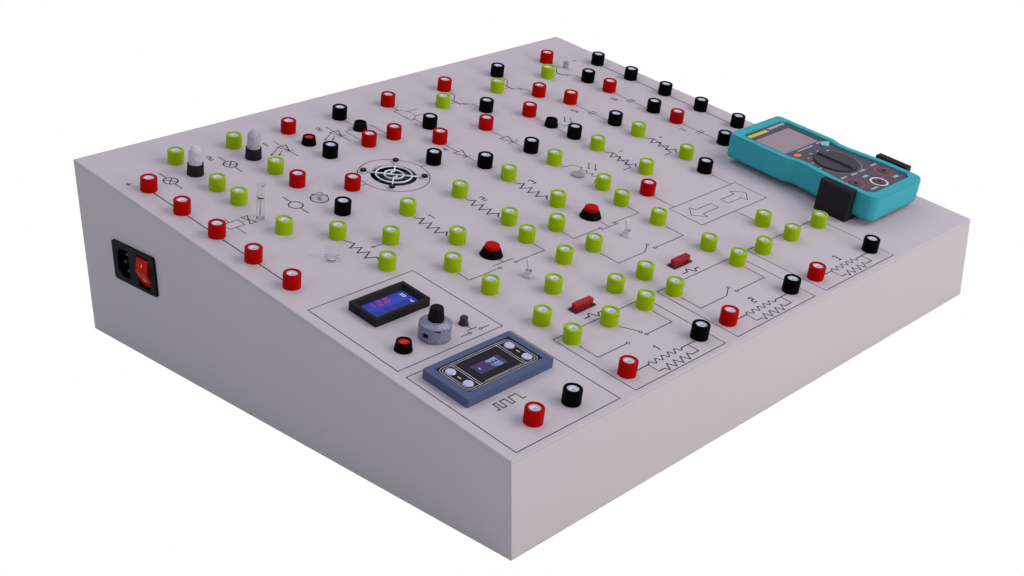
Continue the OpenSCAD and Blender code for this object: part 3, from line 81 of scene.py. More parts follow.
world = bpy.data.worlds.new("studio")
world.use_nodes = True
scene.world = world
sky = world.node_tree.nodes
sky.clear()
room = sky.new("ShaderNodeBackground")
room.inputs["Color"].default_value = (0.86, 0.88, 1.0, 1)
room.inputs["Strength"].default_value = 0.42
paper = sky.new("ShaderNodeBackground")
paper.inputs["Color"].default_value = (1, 1, 1, 1)
paper.inputs["Strength"].default_value = 1.0
ray = sky.new("ShaderNodeLightPath")
either = sky.new("ShaderNodeMixShader")
sky_out = sky.new("ShaderNodeOutputWorld")
wires = world.node_tree.links
wires.new(ray.outputs["Is Camera Ray"], either.inputs[0])
wires.new(room.outputs[0], either.inputs[1])
wires.new(paper.outputs[0], either.inputs[2])
wires.new(either.outputs[0], sky_out.inputs["Surface"])

FLOOR_HALF = 9
floor_mesh = bpy.data.meshes.new("floor")
floor_mesh.from_pydata([(-FLOOR_HALF, -FLOOR_HALF, 0), (FLOOR_HALF, -FLOOR_HALF, 0),
                        (FLOOR_HALF, FLOOR_HALF, 0), (-FLOOR_HALF, FLOOR_HALF, 0)],
                       [], [(0, 1, 2, 3)])
floor = bpy.data.objects.new("floor", floor_mesh)
scene.collection.objects.link(floor)
floor_paint = bpy.data.materials.new("floor_paper")
floor_paint.use_nodes = True
floor_nodes = floor_paint.node_tree.nodes
floor_nodes.clear()
floor_out = floor_nodes.new("ShaderNodeOutputMaterial")
floor_mix = floor_nodes.new("ShaderNodeMixShader")
floor_ray = floor_nodes.new("ShaderNodeLightPath")
floor_white = floor_nodes.new("ShaderNodeEmission")
floor_white.inputs["Color"].default_value = (1, 1, 1, 1)
floor_white.inputs["Strength"].default_value = 1.0
floor_grey = floor_nodes.new("ShaderNodeBsdfDiffuse")
floor_grey.inputs["Color"].default_value = (0.75, 0.75, 0.77, 1)
floor_wires = floor_paint.node_tree.links
floor_wires.new(floor_ray.outputs["Is Camera Ray"], floor_mix.inputs[0])
floor_wires.new(floor_grey.outputs[0], floor_mix.inputs[1])
floor_wires.new(floor_white.outputs[0], floor_mix.inputs[2])
floor_wires.new(floor_mix.outputs[0], floor_out.inputs["Surface"])
floor_mesh.materials.append(floor_paint)

# Housing.
# Folded steel sheet in a light warm grey powder coat, whose skin is finely pebbled; the folds are
# slightly round. Below it a plain base plate, eleven pan head screws and four rubber feet.


def grain_group():
    """Uneven tint, uneven gloss and a fine height, shared by all finishes."""
    group = bpy.data.node_groups.new("fine_grain", "ShaderNodeTree")
    for name, kind in (("Colour", "NodeSocketColor"), ("Spread", "NodeSocketFloat"),
                       ("Gloss", "NodeSocketFloat"), ("Size", "NodeSocketFloat")):
        group.interface.new_socket(name=name, in_out="INPUT", socket_type=kind)
    for name, kind in (("Colour", "NodeSocketColor"), ("Roughness", "NodeSocketFloat"),
                       ("Height", "NodeSocketFloat")):
        group.interface.new_socket(name=name, in_out="OUTPUT", socket_type=kind)
    add, link = group.nodes.new, group.links.new
    given = add("NodeGroupInput")
    result = add("NodeGroupOutput")
    where = add("ShaderNodeTexCoord")
    fine = add("ShaderNodeTexNoise")
    fine.inputs["Detail"].default_value = 3
    broad = add("ShaderNodeTexNoise")
    broad.inputs["Detail"].default_value = 2
    broad.inputs["Scale"].default_value = 14
    both = add("ShaderNodeMath")
    both.operation = "ADD"
    centred = add("ShaderNodeMath")
    centred.operation = "SUBTRACT"
    centred.inputs[1].default_value = 1
    swing = add("ShaderNodeMath")
    swing.operation = "MULTIPLY_ADD"
    swing.inputs[2].default_value = 1
    tint = add("ShaderNodeHueSaturation")
    rough = add("ShaderNodeMath")
    rough.operation = "MULTIPLY_ADD"
    rough.inputs[1].default_value = 0.14
    link(where.outputs["Object"], fine.inputs["Vector"])
    link(where.outputs["Object"], broad.inputs["Vector"])
    link(given.outputs["Size"], fine.inputs["Scale"])
    link(fine.outputs["Fac"], both.inputs[0])
    link(broad.outputs["Fac"], both.inputs[1])
    link(both.outputs[0], centred.inputs[0])
    link(centred.outputs[0], swing.inputs[0])
    link(given.outputs["Spread"], swing.inputs[1])
    link(swing.outputs[0], tint.inputs["Value"])
    link(given.outputs["Colour"], tint.inputs["Color"])
    link(centred.outputs[0], rough.inputs[0])
    link(given.outputs["Gloss"], rough.inputs[2])
    link(tint.outputs["Color"], result.inputs["Colour"])
    link(rough.outputs[0], result.inputs["Roughness"])
    link(fine.outputs["Fac"], result.inputs["Height"])
    return group


fine_grain = grain_group()


def finish(name, colour, rough, metal=0.0, spread=0.06, size=1800, depth=0.00004, soft_edge=0.0,
           sheen=0.18, **more):
    """A finish with fine grain; soft_edge rounds the light on sharp edges, more sets other inputs."""
    material = bpy.data.materials.new(name)
    material.use_nodes = True
    tree = material.node_tree
    shader = tree.nodes["Principled BSDF"]
    shader.inputs["Base Color"].default_value = colour
    shader.inputs["Roughness"].default_value = rough
    shader.inputs["Metallic"].default_value = metal
    shader.inputs["Specular IOR Level"].default_value = sheen
    for key, value in more.items():
        shader.inputs[key.replace("_", " ")].default_value = value
    grain = tree.nodes.new("ShaderNodeGroup")
    grain.node_tree = fine_grain
    grain.inputs["Colour"].default_value = colour
    grain.inputs["Spread"].default_value = spread
    grain.inputs["Gloss"].default_value = rough
    grain.inputs["Size"].default_value = size
    bump = tree.nodes.new("ShaderNodeBump")
    bump.inputs["Distance"].default_value = depth
    tree.links.new(grain.outputs["Height"], bump.inputs["Height"])
    tree.links.new(grain.outputs["Colour"], shader.inputs["Base Color"])
    tree.links.new(grain.outputs["Roughness"], shader.inputs["Roughness"])
    tree.links.new(bump.outputs["Normal"], shader.inputs["Normal"])
    if soft_edge:
        edge = tree.nodes.new("ShaderNodeBevel")
        edge.samples = 6
        edge.inputs["Radius"].default_value = soft_edge
        tree.links.new(edge.outputs["Normal"], bump.inputs["Normal"])
    return material


def dress(material, *names):
    """Gives a material to CAD nodes."""
    for name in names:
        nodes[name].data.materials.clear()
        nodes[name].data.materials.append(material)


coat = finish("housing_coat", srgb(186, 180, 182), 0.62, spread=0.03, size=1500, depth=0.00006,
              soft_edge=0.0012)
bright_steel = finish("bright_steel", srgb(176, 176, 180), 0.32, 1.0, spread=0.1, size=900)
rubber = finish("black_rubber", srgb(24, 24, 26), 0.8, spread=0.2, size=1200, depth=0.00008)
dress(coat, "housing_shell", "base_plate")
dress(bright_steel, "base_screws")
dress(rubber, "rubber_feet")

# Top panel.
# The same coat over the whole top, screen printed in thin dark lines: supply lines along both
# sides, frames round the circuit boxes and plain circuit symbols between the sockets.
BODY_W = 572
BODY_D = 488
FRONT_H = 71
BACK_H = 149
FOOT_H = 3
SLOPE = math.atan((BACK_H - FRONT_H) / BODY_D)


def at(x, s, h):
    """A place given on the panel, in the metres of the shared frame."""
    return Vector((x - BODY_W / 2, s * math.cos(SLOPE) - h * math.sin(SLOPE) - BODY_D / 2,
                   FOOT_H + FRONT_H + s * math.sin(SLOPE) + h * math.cos(SLOPE))) / 1000


def piece(name, mesh, material, body):
    """Turns a bmesh into a piece of the object that moves with a body."""
    data = bpy.data.meshes.new(name)
    mesh.to_mesh(data)
    mesh.free()
    data.materials.append(material)
    made = bpy.data.objects.new(name, data)
    scene.collection.objects.link(made)
    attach(made, body)
    return made


SHARPEST = 0.45


def ribbon(mesh, points, width, h, place=at, closed=False):
    """A flat printed line of even width through points; corners are mitred, sharp ones less far."""
    count = len(points)
    rows = []
    for i, (x, y) in enumerate(points):
        before = points[i - 1] if i or closed else None
        after = points[(i + 1) % count] if i < count - 1 or closed else None
        steps = [Vector((b[0] - a[0], b[1] - a[1])).normalized()
                 for a, b in ((before, (x, y)), ((x, y), after)) if a and b]
        sides = [Vector((-d.y, d.x)) for d in steps]
        side = sum(sides[1:], sides[0]).normalized()
        side *= width / 2 / max(side.dot(sides[0]), SHARPEST)
        rows.append((mesh.verts.new(place(x - side.x, y - side.y, h)),
                     mesh.verts.new(place(x + side.x, y + side.y, h))))
    pairs = list(zip(rows, rows[1:])) + ([(rows[-1], rows[0])] if closed else [])
    for (a, b), (c, d) in pairs:
        mesh.faces.new((a, c, d, b))


def round_points(x, s, r, start=0, stop=360, steps=28):
    """Points of an arc, both its ends included."""
    turns = [math.radians(start + (stop - start) * i / steps) for i in range(steps + 1)]
    return [(x + r * math.cos(t), s + r * math.sin(t)) for t in turns]


PRINT_H = 0.06
THIN = 0.6
LINE = 0.7
FIRM = 0.9
WIDE = 1.0
BOLD = 1.1
prints = bmesh.new()


def line(*points, width=LINE, closed=False):
    """A printed line on the panel."""
    ribbon(prints, points, width, PRINT_H, closed=closed)


def circle(x, s, r, width=LINE):
    """A printed ring on the panel."""
    line(*round_points(x, s, r)[:-1], width=width, closed=True)


def frame_lines(left, front, right, back):
    """A printed frame round part of the panel."""
    line((left, front), (right, front), (right, back), (left, back), closed=True)


def zigzag(x, back=271, front=228.6, half=4.8):
    """Resistor symbol down the slope, with leads up to the sockets behind and in front of it."""
    pitch = 4.45
    first = back - 4.6
    last = front + 4.8
    teeth = [(x + (half if i % 2 == 0 else -half), back - 7.5 - pitch * i) for i in range(7)]
    line((x, back), (x, first))
    line((x, first), *teeth, (x, last), width=BOLD)
    line((x, last), (x, front))


def diode(x, s, zener=False):
    """Diode symbol pointing down the slope; the zener's bar has bent ends."""
    base = s + 5.5
    bar_s = s - 6
    half = 5
    line((x, s + 23), (x, base))
    line((x - 5.2, base), (x + 5.2, base), (x, s - 5.4), width=FIRM, closed=True)
    if zener:
        line((x - 6.8, s - 8), (x - half, bar_s), (x + half, bar_s), (x + 6.8, s - 4))
    else:
        line((x - half, bar_s), (x + half, bar_s))
    line((x, bar_s), (x, s - 21))


def capacitor(x, s, lead=20.6, half=5, gap=1.5):
    """Two bold plates across the slope, each on its lead."""
    line((x, s + lead), (x, s + gap))
    line((x - half, s + gap), (x + half, s + gap), width=BOLD)
    line((x - half, s - gap), (x + half, s - gap), width=BOLD)
    line((x, s - gap), (x, s - lead))


def transistor(x, s, inward=False):
    """Base lead from the left, bar, and two slanted leads to the sockets behind and in front."""
    bar_x = x - 11.2
    line((x - 22, s), (bar_x, s))
    line((bar_x, s - 6), (bar_x, s + 6), width=BOLD)
    line((bar_x, s + 3.5), (x, s + 13.5), (x, s + 21))
    line((bar_x, s - 3.5), (x, s - 11), (x, s - 21))
    tip = 3.5 if inward else 6.5
    line((x - tip - 2.6, s - 10 + tip / 2.5), (x - tip, s - 11 + tip / 1.4 - 1.5),
         (x - tip - 0.2, s - 5.2 + tip / 9))


def arrow(x0, s0, x1, s1, head=2.4):
    """A line with an open arrowhead at its second end."""
    line((x0, s0), (x1, s1))
    back = Vector((x0 - x1, s0 - s1)).normalized() * head
    side = Vector((-back.y, back.x)) * 0.45
    line((x1 + back.x + side.x, s1 + back.y + side.y), (x1, s1),
         (x1 + back.x - side.x, s1 + back.y - side.y))


def lamp_sign(x, s, crossed=True, lead=16.6, reach=5.7):
    """A bold ring on two leads, for a lamp with a cross in it."""
    line((x, s + lead), (x, s + reach), width=FIRM)
    line((x, s - reach), (x, s - lead), width=FIRM)
    circle(x, s, reach, BOLD)
    if crossed:
        slant = reach * 0.7
        line((x - slant, s - slant), (x + slant, s + slant), width=FIRM)
        line((x - slant, s + slant), (x + slant, s - slant), width=FIRM)


def led_sign(x, s, half=4.8):
    """Light emitting diode: triangle and bar on one lead, and two arrows that leave it."""
    line((x, s + 16.6), (x, s - 17))
    line((x - half, s + 6), (x + half, s + 6), (x, s - 5), width=FIRM, closed=True)
    line((x - half, s - 5.2), (x + half, s - 5.2))
    arrow(x - 6, s + 3.5, x - 18, s - 4)
    arrow(x - 5, s - 1.5, x - 12.5, s - 7.5)


CONTACT_R = 1.2


def push_sign(left, right, s, closing):
    """Push switch: leads bent in to two contacts, and a bar on a stem before or behind them."""
    middle = (left + right) / 2
    line((left, s + 13), (left, s), (middle - 9.4, s))
    line((right, s + 13), (right, s), (middle + 9.4, s))
    circle(middle - 8.2, s, CONTACT_R)
    circle(middle + 8.2, s, CONTACT_R)
    bar_s = s + 5 if closing else s - 2.6
    line((middle, s + 9), (middle, bar_s))
    line((middle - 11, bar_s), (middle + 11, bar_s))


def lever_sign(left, right, s):
    """Toggle switch: a slanted lever from the left lead, its end and the fixed contact open rings."""
    middle = (left + right) / 2
    line((left, s + 19), (left, s), (middle - 8.6, s), (middle + 1.8, s + 6.4))
    circle(middle + 2.8, s + 7, CONTACT_R)
    circle(middle + 3.8, s, CONTACT_R)
    line((middle + 5, s), (right, s), (right, s + 19))


# the supply lines with their plus and minus signs
BUS_INSET = 20.2
for x in (BUS_INSET, BODY_W - BUS_INSET):
    line((x, 239), (x, 418), width=WIDE)
line((9.5, 434), (14.5, 434), width=FIRM)
line((12, 431.5), (12, 436.5), width=FIRM)
line((534, 436), (539, 436), width=FIRM)
# frames of the supply, of the pulse module and of the three boxes at the front
frame_lines(9.4, 113.6, 106.9, 207)
frame_lines(9.2, 4.7, 107, 105.2)
for left in (123, 237.2, 351.4):
    frame_lines(left, 4.5, left + 99.5, 80.2)
# back row: two lamps, two light emitting diodes, three transistors, the second the other way round
for x in (42.6, 99.7):
    lamp_sign(x, 421.9)
for x in (156.3, 213.3):
    led_sign(x, 422)
for x, inward in ((364.6, False), (435.8, True), (507.1, False)):
    transistor(x, 419.9, inward)
# middle row: a plain ring beside the motor's disc, diodes and capacitors
MIDDLE_ROW = 334.7
lamp_sign(99.6, 335.9, crossed=False)
diode(279.1, 334)
diode(336.1, 334, zener=True)
for x in (450.1, 507.1):
    capacitor(x, MIDDLE_ROW)
capacitor(508, 249.6)
# third row: three resistors, and two heat dependent ones with a bent arm and a minus or plus sign
for x in (165.1, 222.1, 279.1):
    zigzag(x)
for x, plus in ((394.1, False), (451.1, True)):
    zigzag(x)
    line((x + 5.2, 263), (x - 5, 234.6), (x - 15.3, 234.4), width=FIRM)
    line((x + 11.2, 262), (x + 15.8, 262), width=FIRM)
    if plus:
        line((x + 13.5, 259.7), (x + 13.5, 264.3), width=FIRM)
# light dependent resistor beside its cell
line((336.1, 268), (347.6, 265.6), (350.9, 257.8), (345.4, 255.4), (350, 251.2), (345.2, 248.2),
     (350, 244.8), (345, 241.6), (349.9, 238.5), (336.1, 231))
arrow(363.7, 261.5, 354, 252.8)
arrow(366.8, 256.4, 357.3, 248)
# potentiometer with its wiper
line((93.8, 271), (97.6, 262), (90, 259), (98.4, 254.6), (89.8, 250.2), (98.8, 246.2), (89.6, 241),
     (98.2, 237), (93.8, 228), width=BOLD)
arrow(116, 250, 104.4, 250.6)
# solenoid valve: coil box, dashed link, bow tie
frame_lines(33.6, 331.2, 47.7, 340.2)
line((39.7, 346), (39.7, 340.2))
line((39.7, 331.2), (39.7, 319))
for x in (48.4, 50.3, 52.2):
    line((x, 335.8), (x + 1, 335.8))
line((51.6, 342), (57.6, 342), (51.6, 330), (57.6, 330), width=FIRM, closed=True)
# phototransistor between three sockets
line((236.3, 441), (236.3, 426))
line((230, 422.7), (222.1, 422.7), (222.1, 398))
line((242.6, 422.7), (250.5, 422.7), (250.5, 398))
# second light sensor
line((399.5, 334), (403.2, 334), (403.2, 327.5), (408.6, 327.8))
arrow(420.2, 343.4, 411.7, 334.5)
arrow(422.8, 338.3, 415, 329)
line((393.1, 356), (393.1, 341.5))
line((393.1, 328), (393.1, 313))
# buzzer: a half disc on the leads, with two short lines
line((293.3, 441.8), (293.3, 434), (288.8, 434), (288.8, 411), (293.3, 411), (293.3, 398.6))
line(*round_points(288.8, 422.5, 11.5, -90, 90, 16), width=THIN)
line((299.3, 427.5), (311, 427.5))
line((298.6, 416), (309, 416))
# fan: printed ring and its two leads; motor: a small ring under its disc
FAN = (200.8, MIDDLE_ROW)
circle(*FAN, 30.2)
line((162.5, MIDDLE_ROW), (170.6, MIDDLE_ROW))
line((231, MIDDLE_ROW), (239.2, MIDDLE_ROW))
circle(122.3, MIDDLE_ROW, 7.2, WIDE)
# push switches and toggle switches of the boxes
push_sign(132, 213, 173, True)
push_sign(246.9, 327, 173, False)
lever_sign(246.5, 327.3, 126)
lever_sign(246.4, 327, 45.3)
# changeover contact of the first box
line((132.3, 64), (132.3, 46.2), (162.6, 46.2))
circle(163.9, 46.2, CONTACT_R)
line((213, 64.5), (213, 46), (185.4, 46))
circle(184.2, 46, CONTACT_R)
line((175.6, 64.8), (182.6, 51.6))
circle(182.9, 50.4, CONTACT_R)
# fuse symbols: one wave between short leads
FUSE_WAVE_S = 86
for x in (172.5, 286.5):
    fuse_wave = [(x - 4.5 + 9 * i / 12, FUSE_WAVE_S + 3.2 * math.sin(math.radians(30 * i)))
                 for i in range(13)]
    line((x - 10, FUSE_WAVE_S), *fuse_wave, (x + 9.4, FUSE_WAVE_S), width=BOLD)
# coil of five waves with a resistor across it at the front of each box
COIL_S = 19.6
ACROSS_S = 9.8
TOOTH = 30 / 8
for left in (133.3, 247.3, 361.3):
    coil_wave = [(left + 22 + 35 * i / 60, COIL_S + 2.2 * math.sin(math.radians(1800 * i / 60)))
                 for i in range(61)]
    line((left + 7, COIL_S), *coil_wave, (left + 73, COIL_S), width=FIRM)
    line((left + 20.8, COIL_S), (left + 20.8, ACROSS_S), (left + 25, ACROSS_S))
    line((left + 21, ACROSS_S), (left + 27, ACROSS_S),
         *[(left + 27 + (i + 0.5) * TOOTH, ACROSS_S + (3.3 if i % 2 else -3.3)) for i in range(8)],
         (left + 57, ACROSS_S), (left + 64.8, ACROSS_S), (left + 64.8, COIL_S), width=FIRM)
# direction block with its two outlined arrows
frame_lines(355.4, 128.8, 446.8, 163)
line((361.3, 186), (361.3, 163))
line((441, 186), (441, 163))
line((401.2, 128.8), (401.2, 107.6))
BLOCK_S = 145.3
for tail, neck, barb, tip in ((407.9, 427.2, 428.4, 438.9), (394.0, 373.0, 371.8, 361.8)):
    line((tail, BLOCK_S - 4.1), (neck, BLOCK_S - 4.1), (barb, BLOCK_S - 9.6), (tip, BLOCK_S),
         (barb, BLOCK_S + 9.6), (neck, BLOCK_S + 4.1), (tail, BLOCK_S + 4.1), closed=True)
# reset switch beside its button
line((86.1, 128.1), (86.1, 123.2))
line((81.5, 123.2), (91, 123.2))
for side in (-1, 1):
    circle(86.5 + side * 5, 120, 1.1)
    line((86.5 + side * 6.2, 120), (86.5 + side * 13.8, 120))
# square wave beside the pulse sockets, its pulses growing wider
WAVE_LOW = 43
WAVE_HIGH = 49.6
square_wave = [(31, WAVE_LOW)]
for rise, fall in ((33.8, 36.4), (39.8, 44.4), (47.6, 54.6)):
    square_wave += [(rise, WAVE_LOW), (rise, WAVE_HIGH), (fall, WAVE_HIGH), (fall, WAVE_LOW)]
line(*square_wave, (58, WAVE_LOW), width=FIRM)
# plain numbers beside like parts, drawn as strokes on a grid of two by four
STROKES = {
    "0": ((0, 0), (2, 0), (2, 4), (0, 4), (0, 0)), "1": ((0.4, 3.2), (1.2, 4), (1.2, 0)),
    "2": ((0, 4), (2, 4), (2, 2), (0, 2), (0, 0), (2, 0)),
    "3": ((0, 4), (2, 4), (2, 2), (0.4, 2), (2, 2), (2, 0), (0, 0)),
    "4": ((1.5, 0), (1.5, 4), (0, 1.4), (2, 1.4)),
    "5": ((2, 4), (0, 4), (0, 2), (2, 2), (2, 0), (0, 0)),
    "6": ((2, 4), (0, 4), (0, 0), (2, 0), (2, 2), (0, 2)), "7": ((0, 4), (2, 4), (0.8, 0)),
    "8": ((0, 2), (0, 4), (2, 4), (2, 0), (0, 0), (0, 2), (2, 2)),
    "9": ((2, 0), (2, 4), (0, 4), (0, 2), (2, 2)),
}


def digit(mesh, sign, x, s, high, width, h):
    """One figure round its middle, of a given height."""
    scale = high / 4
    ribbon(mesh, [(x + (a - 1) * scale, s + (b - 2) * scale) for a, b in STROKES[sign]], width, h)


NUMBER_SIZE = 6.4
for sign, x, s in (("2", 92.3, 439.5), ("1", 146.4, 436.9), ("2", 205.2, 438), ("1", 177, 262.5),
                   ("2", 234.5, 262.5), ("3", 292, 262.5), ("4", 273, 349), ("5", 438.5, 346.8),
                   ("6", 495.4, 346), ("7", 496.6, 260.8), ("1", 176.2, 29.8), ("2", 289.8, 29.8),
                   ("3", 404.4, 29.4)):
    digit(prints, sign, x, s, NUMBER_SIZE, BOLD, PRINT_H)
ink = finish("printed_ink", srgb(34, 30, 42), 0.6, spread=0.15, depth=0.0)
piece("panel_lines", prints, ink, "desk")
panel_coat = finish("panel_coat", srgb(190, 182, 190), 0.55, spread=0.03, size=1600, depth=0.00004,
                    soft_edge=0.0014)
dress(panel_coat, "top_panel")

# Sockets.
# Insulated 4 mm sockets of satin moulded plastic in red, black and green, with a thick lip round
# the contact. The contact is pale nickel. Its open bore carries a pale, faintly glowing lining for the
# first three millimetres: painted light over the bore's shade. A plain steel nut on each holds it below
# the panel.
red_plastic = finish("red_plastic", srgb(167, 4, 0), 0.5, spread=0.08, sheen=0.04)
black_plastic = finish("black_plastic", srgb(3, 3, 5), 0.45, spread=0.2, sheen=0.03)
green_plastic = finish("green_plastic", srgb(146, 176, 2), 0.48, spread=0.08, sheen=0.1)
nickel = finish("nickel", srgb(186, 188, 204), 0.45, spread=0.06, size=700, sheen=0.25)
dress(red_plastic, "red_sockets")
dress(black_plastic, "black_sockets")
dress(green_plastic, "green_sockets")
dress(nickel, "socket_contacts")
dress(bright_steel, "socket_nuts")
# profiles as radius and height above the panel
LIP = ((5.08, 11.28), (4.5, 11.2), (4.28, 11.04), (4.25, 10.42))
# the bore's lining, pale and faintly glowing: painted light over the shade inside the bore
GLOW_LINING = ((2.28, 10.39), (1.97, 10.08), (1.97, 7.4))


def on_panel(point):
    """The x and s of a point of the shared frame."""
    y = point.y * 1000 + BODY_D / 2
    z = point.z * 1000 - FOOT_H - FRONT_H
    return point.x * 1000 + BODY_W / 2, y * math.cos(SLOPE) + z * math.sin(SLOPE)


def socket_places(node):
    """Where each socket of a node stands on the panel, from the loose parts of its mesh."""
    mesh = bmesh.new()
    mesh.from_mesh(nodes[node].data)
    bmesh.ops.remove_doubles(mesh, verts=mesh.verts, dist=0.000001)
    seen = set()
    places = []
    for first in mesh.verts:
        if first in seen:
            continue
        seen.add(first)
        part = [first]
        for vert in part:
            for edge in vert.link_edges:
                other = edge.other_vert(vert)
                if other not in seen:
                    seen.add(other)
                    part.append(other)
        xs, ups = zip(*[on_panel(vert.co) for vert in part])
        places.append(((min(xs) + max(xs)) / 2, (min(ups) + max(ups)) / 2))
    mesh.free()
    return places


UPRIGHT = at(0, 0, 1) - at(0, 0, 0)


def turned(mesh, x, s, profile, sides=24, start=0, sweep=360):
    """An open surface turned round an axis that stands on the panel."""
    c, n = math.cos(math.radians(start)), math.sin(math.radians(start))
    verts = [mesh.verts.new(at(x + r * c, s + r * n, h)) for r, h in profile]
    edges = [mesh.edges.new(pair) for pair in zip(verts, verts[1:])]
    bmesh.ops.spin(mesh, geom=verts + edges, cent=at(x, s, 0), axis=UPRIGHT.normalized(),
                   angle=math.radians(sweep), steps=sides, use_merge=sweep == 360,
                   use_normal_flip=True)


# a pale, faintly glowing lining in each bore: painted light that brightens the bore's shade
bore_painted_light = finish("bore_painted_light", srgb(206, 206, 220), 0.4, spread=0.05, depth=0.0,
                        Emission_Color=srgb(200, 206, 226), Emission_Strength=0.2)
lit_linings = bmesh.new()
for shade, plastic in (("red", red_plastic), ("black", black_plastic), ("green", green_plastic)):
    lips = bmesh.new()
    for x, s in socket_places(shade + "_sockets"):
        turned(lips, x, s, LIP)
        turned(lit_linings, x, s, GLOW_LINING)
    piece(shade + "_socket_lips", lips, plastic, "desk")
piece("bore_painted_lining", lit_linings, bore_painted_light, "desk")

# Mains inlet.
# A black moulded flange with the coupler's recess and a glossy red rocker, whose ends carry the
# usual line and ring in pale ink.
inlet_black = finish("inlet_black", srgb(12, 12, 15), 0.5, spread=0.15, sheen=0.08)
rocker_red = finish("rocker_red", srgb(184, 8, 4), 0.35, spread=0.05, depth=0.0, sheen=0.06)
dress(inlet_black, "inlet_body")
pin_steel = finish("pin_steel", srgb(70, 70, 76), 0.5, 0.6, spread=0.1)
dress(pin_steel, "inlet_pins")
dress(rocker_red, "power_rocker")
# the inlet's middle from the body's front and bottom, the rocker's shift towards the front in it,
# its tilt and pivot, and half of its profile as places across the pivot and out of the flange
INLET_Y = 410.7
INLET_Z = 78
ROCKER_SHIFT = 13.9
ROCKER_TILT = math.radians(7)
PIVOT_DEPTH = 5
RIDGE = Vector((1.5, 4.2))
TIP = (12.3, 0.6)
INK_H = 0.05


def on_rocker(up):
    """A place function on the rocker's upper or lower face, from its ridge out, switched off."""
    end = Vector((TIP[0] if up else -TIP[0], TIP[1])) - RIDGE
    along = end.normalized()
    out = Vector((-along.y, along.x)) if up else Vector((along.y, -along.x))

    def place(x, t, h):
        v = RIDGE + along * (t * end.length) + out * h
        v.y += PIVOT_DEPTH
        y = v.x * math.cos(ROCKER_TILT) - v.y * math.sin(ROCKER_TILT)
        z = v.x * math.sin(ROCKER_TILT) + v.y * math.cos(ROCKER_TILT) - PIVOT_DEPTH
        return Vector((-BODY_W / 2 - z, -BODY_D / 2 + INLET_Y - ROCKER_SHIFT - x,
                       FOOT_H + INLET_Z + y)) / 1000

    return place


marks = bmesh.new()
ribbon(marks, [(0, 0.42), (0, 0.62)], LINE, INK_H, on_rocker(True))
ring = [(1.5 * math.cos(math.radians(a)), 0.13 * math.sin(math.radians(a))) for a in range(0, 360, 20)]
lower = on_rocker(False)
inner = [marks.verts.new(lower(0.62 * x, 0.5 + 0.62 * t, INK_H)) for x, t in ring]
outer = [marks.verts.new(lower(x, 0.5 + t, INK_H)) for x, t in ring]
for i in range(len(ring)):
    k = (i + 1) % len(ring)
    marks.faces.new((inner[i], inner[k], outer[k], outer[i]))
bmesh.ops.recalc_face_normals(marks, faces=marks.faces)
pale_ink = finish("pale_ink", srgb(226, 214, 216), 0.5, spread=0.05, depth=0.0)
piece("rocker_marks", marks, pale_ink, "power_rocker")

# Supply meter.
# A black case with a sloped rim down to a blue display: red figures, pale marks at the right and
# darker blocks on the lower line.
meter_black = finish("meter_black", srgb(31, 29, 33), 0.5, spread=0.15, soft_edge=0.0004, sheen=0.1)
supply_blue = finish("supply_blue", srgb(46, 64, 168), 0.3, spread=0.1, depth=0.0,
                     Emission_Color=srgb(34, 52, 160), Emission_Strength=0.2)
dress(meter_black, "supply_meter_case")
dress(supply_blue, "supply_meter_screen")
SUPPLY = (57.9, 177.3)
RIM_H = 6.5
DISPLAY_DEPTH = 4.2
SUPPLY_H = RIM_H - DISPLAY_DEPTH + INK_H


def slab(mesh, left, front, right, back, h, place=at):
    """A flat rectangle."""
    mesh.faces.new([mesh.verts.new(place(x, s, h)) for x, s in
                    ((left, front), (right, front), (right, back), (left, back))])


figures = bmesh.new()
for i, sign in enumerate("120"):
    digit(figures, sign, SUPPLY[0] - 10.5 + i * 6.4, SUPPLY[1] + 5.8, 5.4, 0.8, SUPPLY_H)
slab(figures, SUPPLY[0] - 1.5, SUPPLY[1] + 2.8, SUPPLY[0] - 0.5, SUPPLY[1] + 3.8, SUPPLY_H)
red_light = finish("red_figures", srgb(196, 40, 84), 0.4, spread=0.05, depth=0.0,
                   Emission_Color=srgb(190, 30, 80), Emission_Strength=0.25)
piece("supply_figures", figures, red_light, "desk")
blocks = bmesh.new()
for i in range(4):
    slab(blocks, SUPPLY[0] - 16.5 + i * 8.2, SUPPLY[1] - 8.2, SUPPLY[0] - 9.5 + i * 8.2,
         SUPPLY[1] - 1.2, SUPPLY_H)
dark_blue = finish("block_blue", srgb(40, 54, 150), 0.35, spread=0.1, depth=0.0)
piece("supply_blocks", blocks, dark_blue, "desk")
units = bmesh.new()
digit(units, "8", SUPPLY[0] + 16.6, SUPPLY[1] + 4.6, 4.2, 0.7, SUPPLY_H)
digit(units, "4", SUPPLY[0] + 16.6, SUPPLY[1] - 4.8, 4.2, 0.7, SUPPLY_H)
piece("supply_marks", units, pale_ink, "desk")

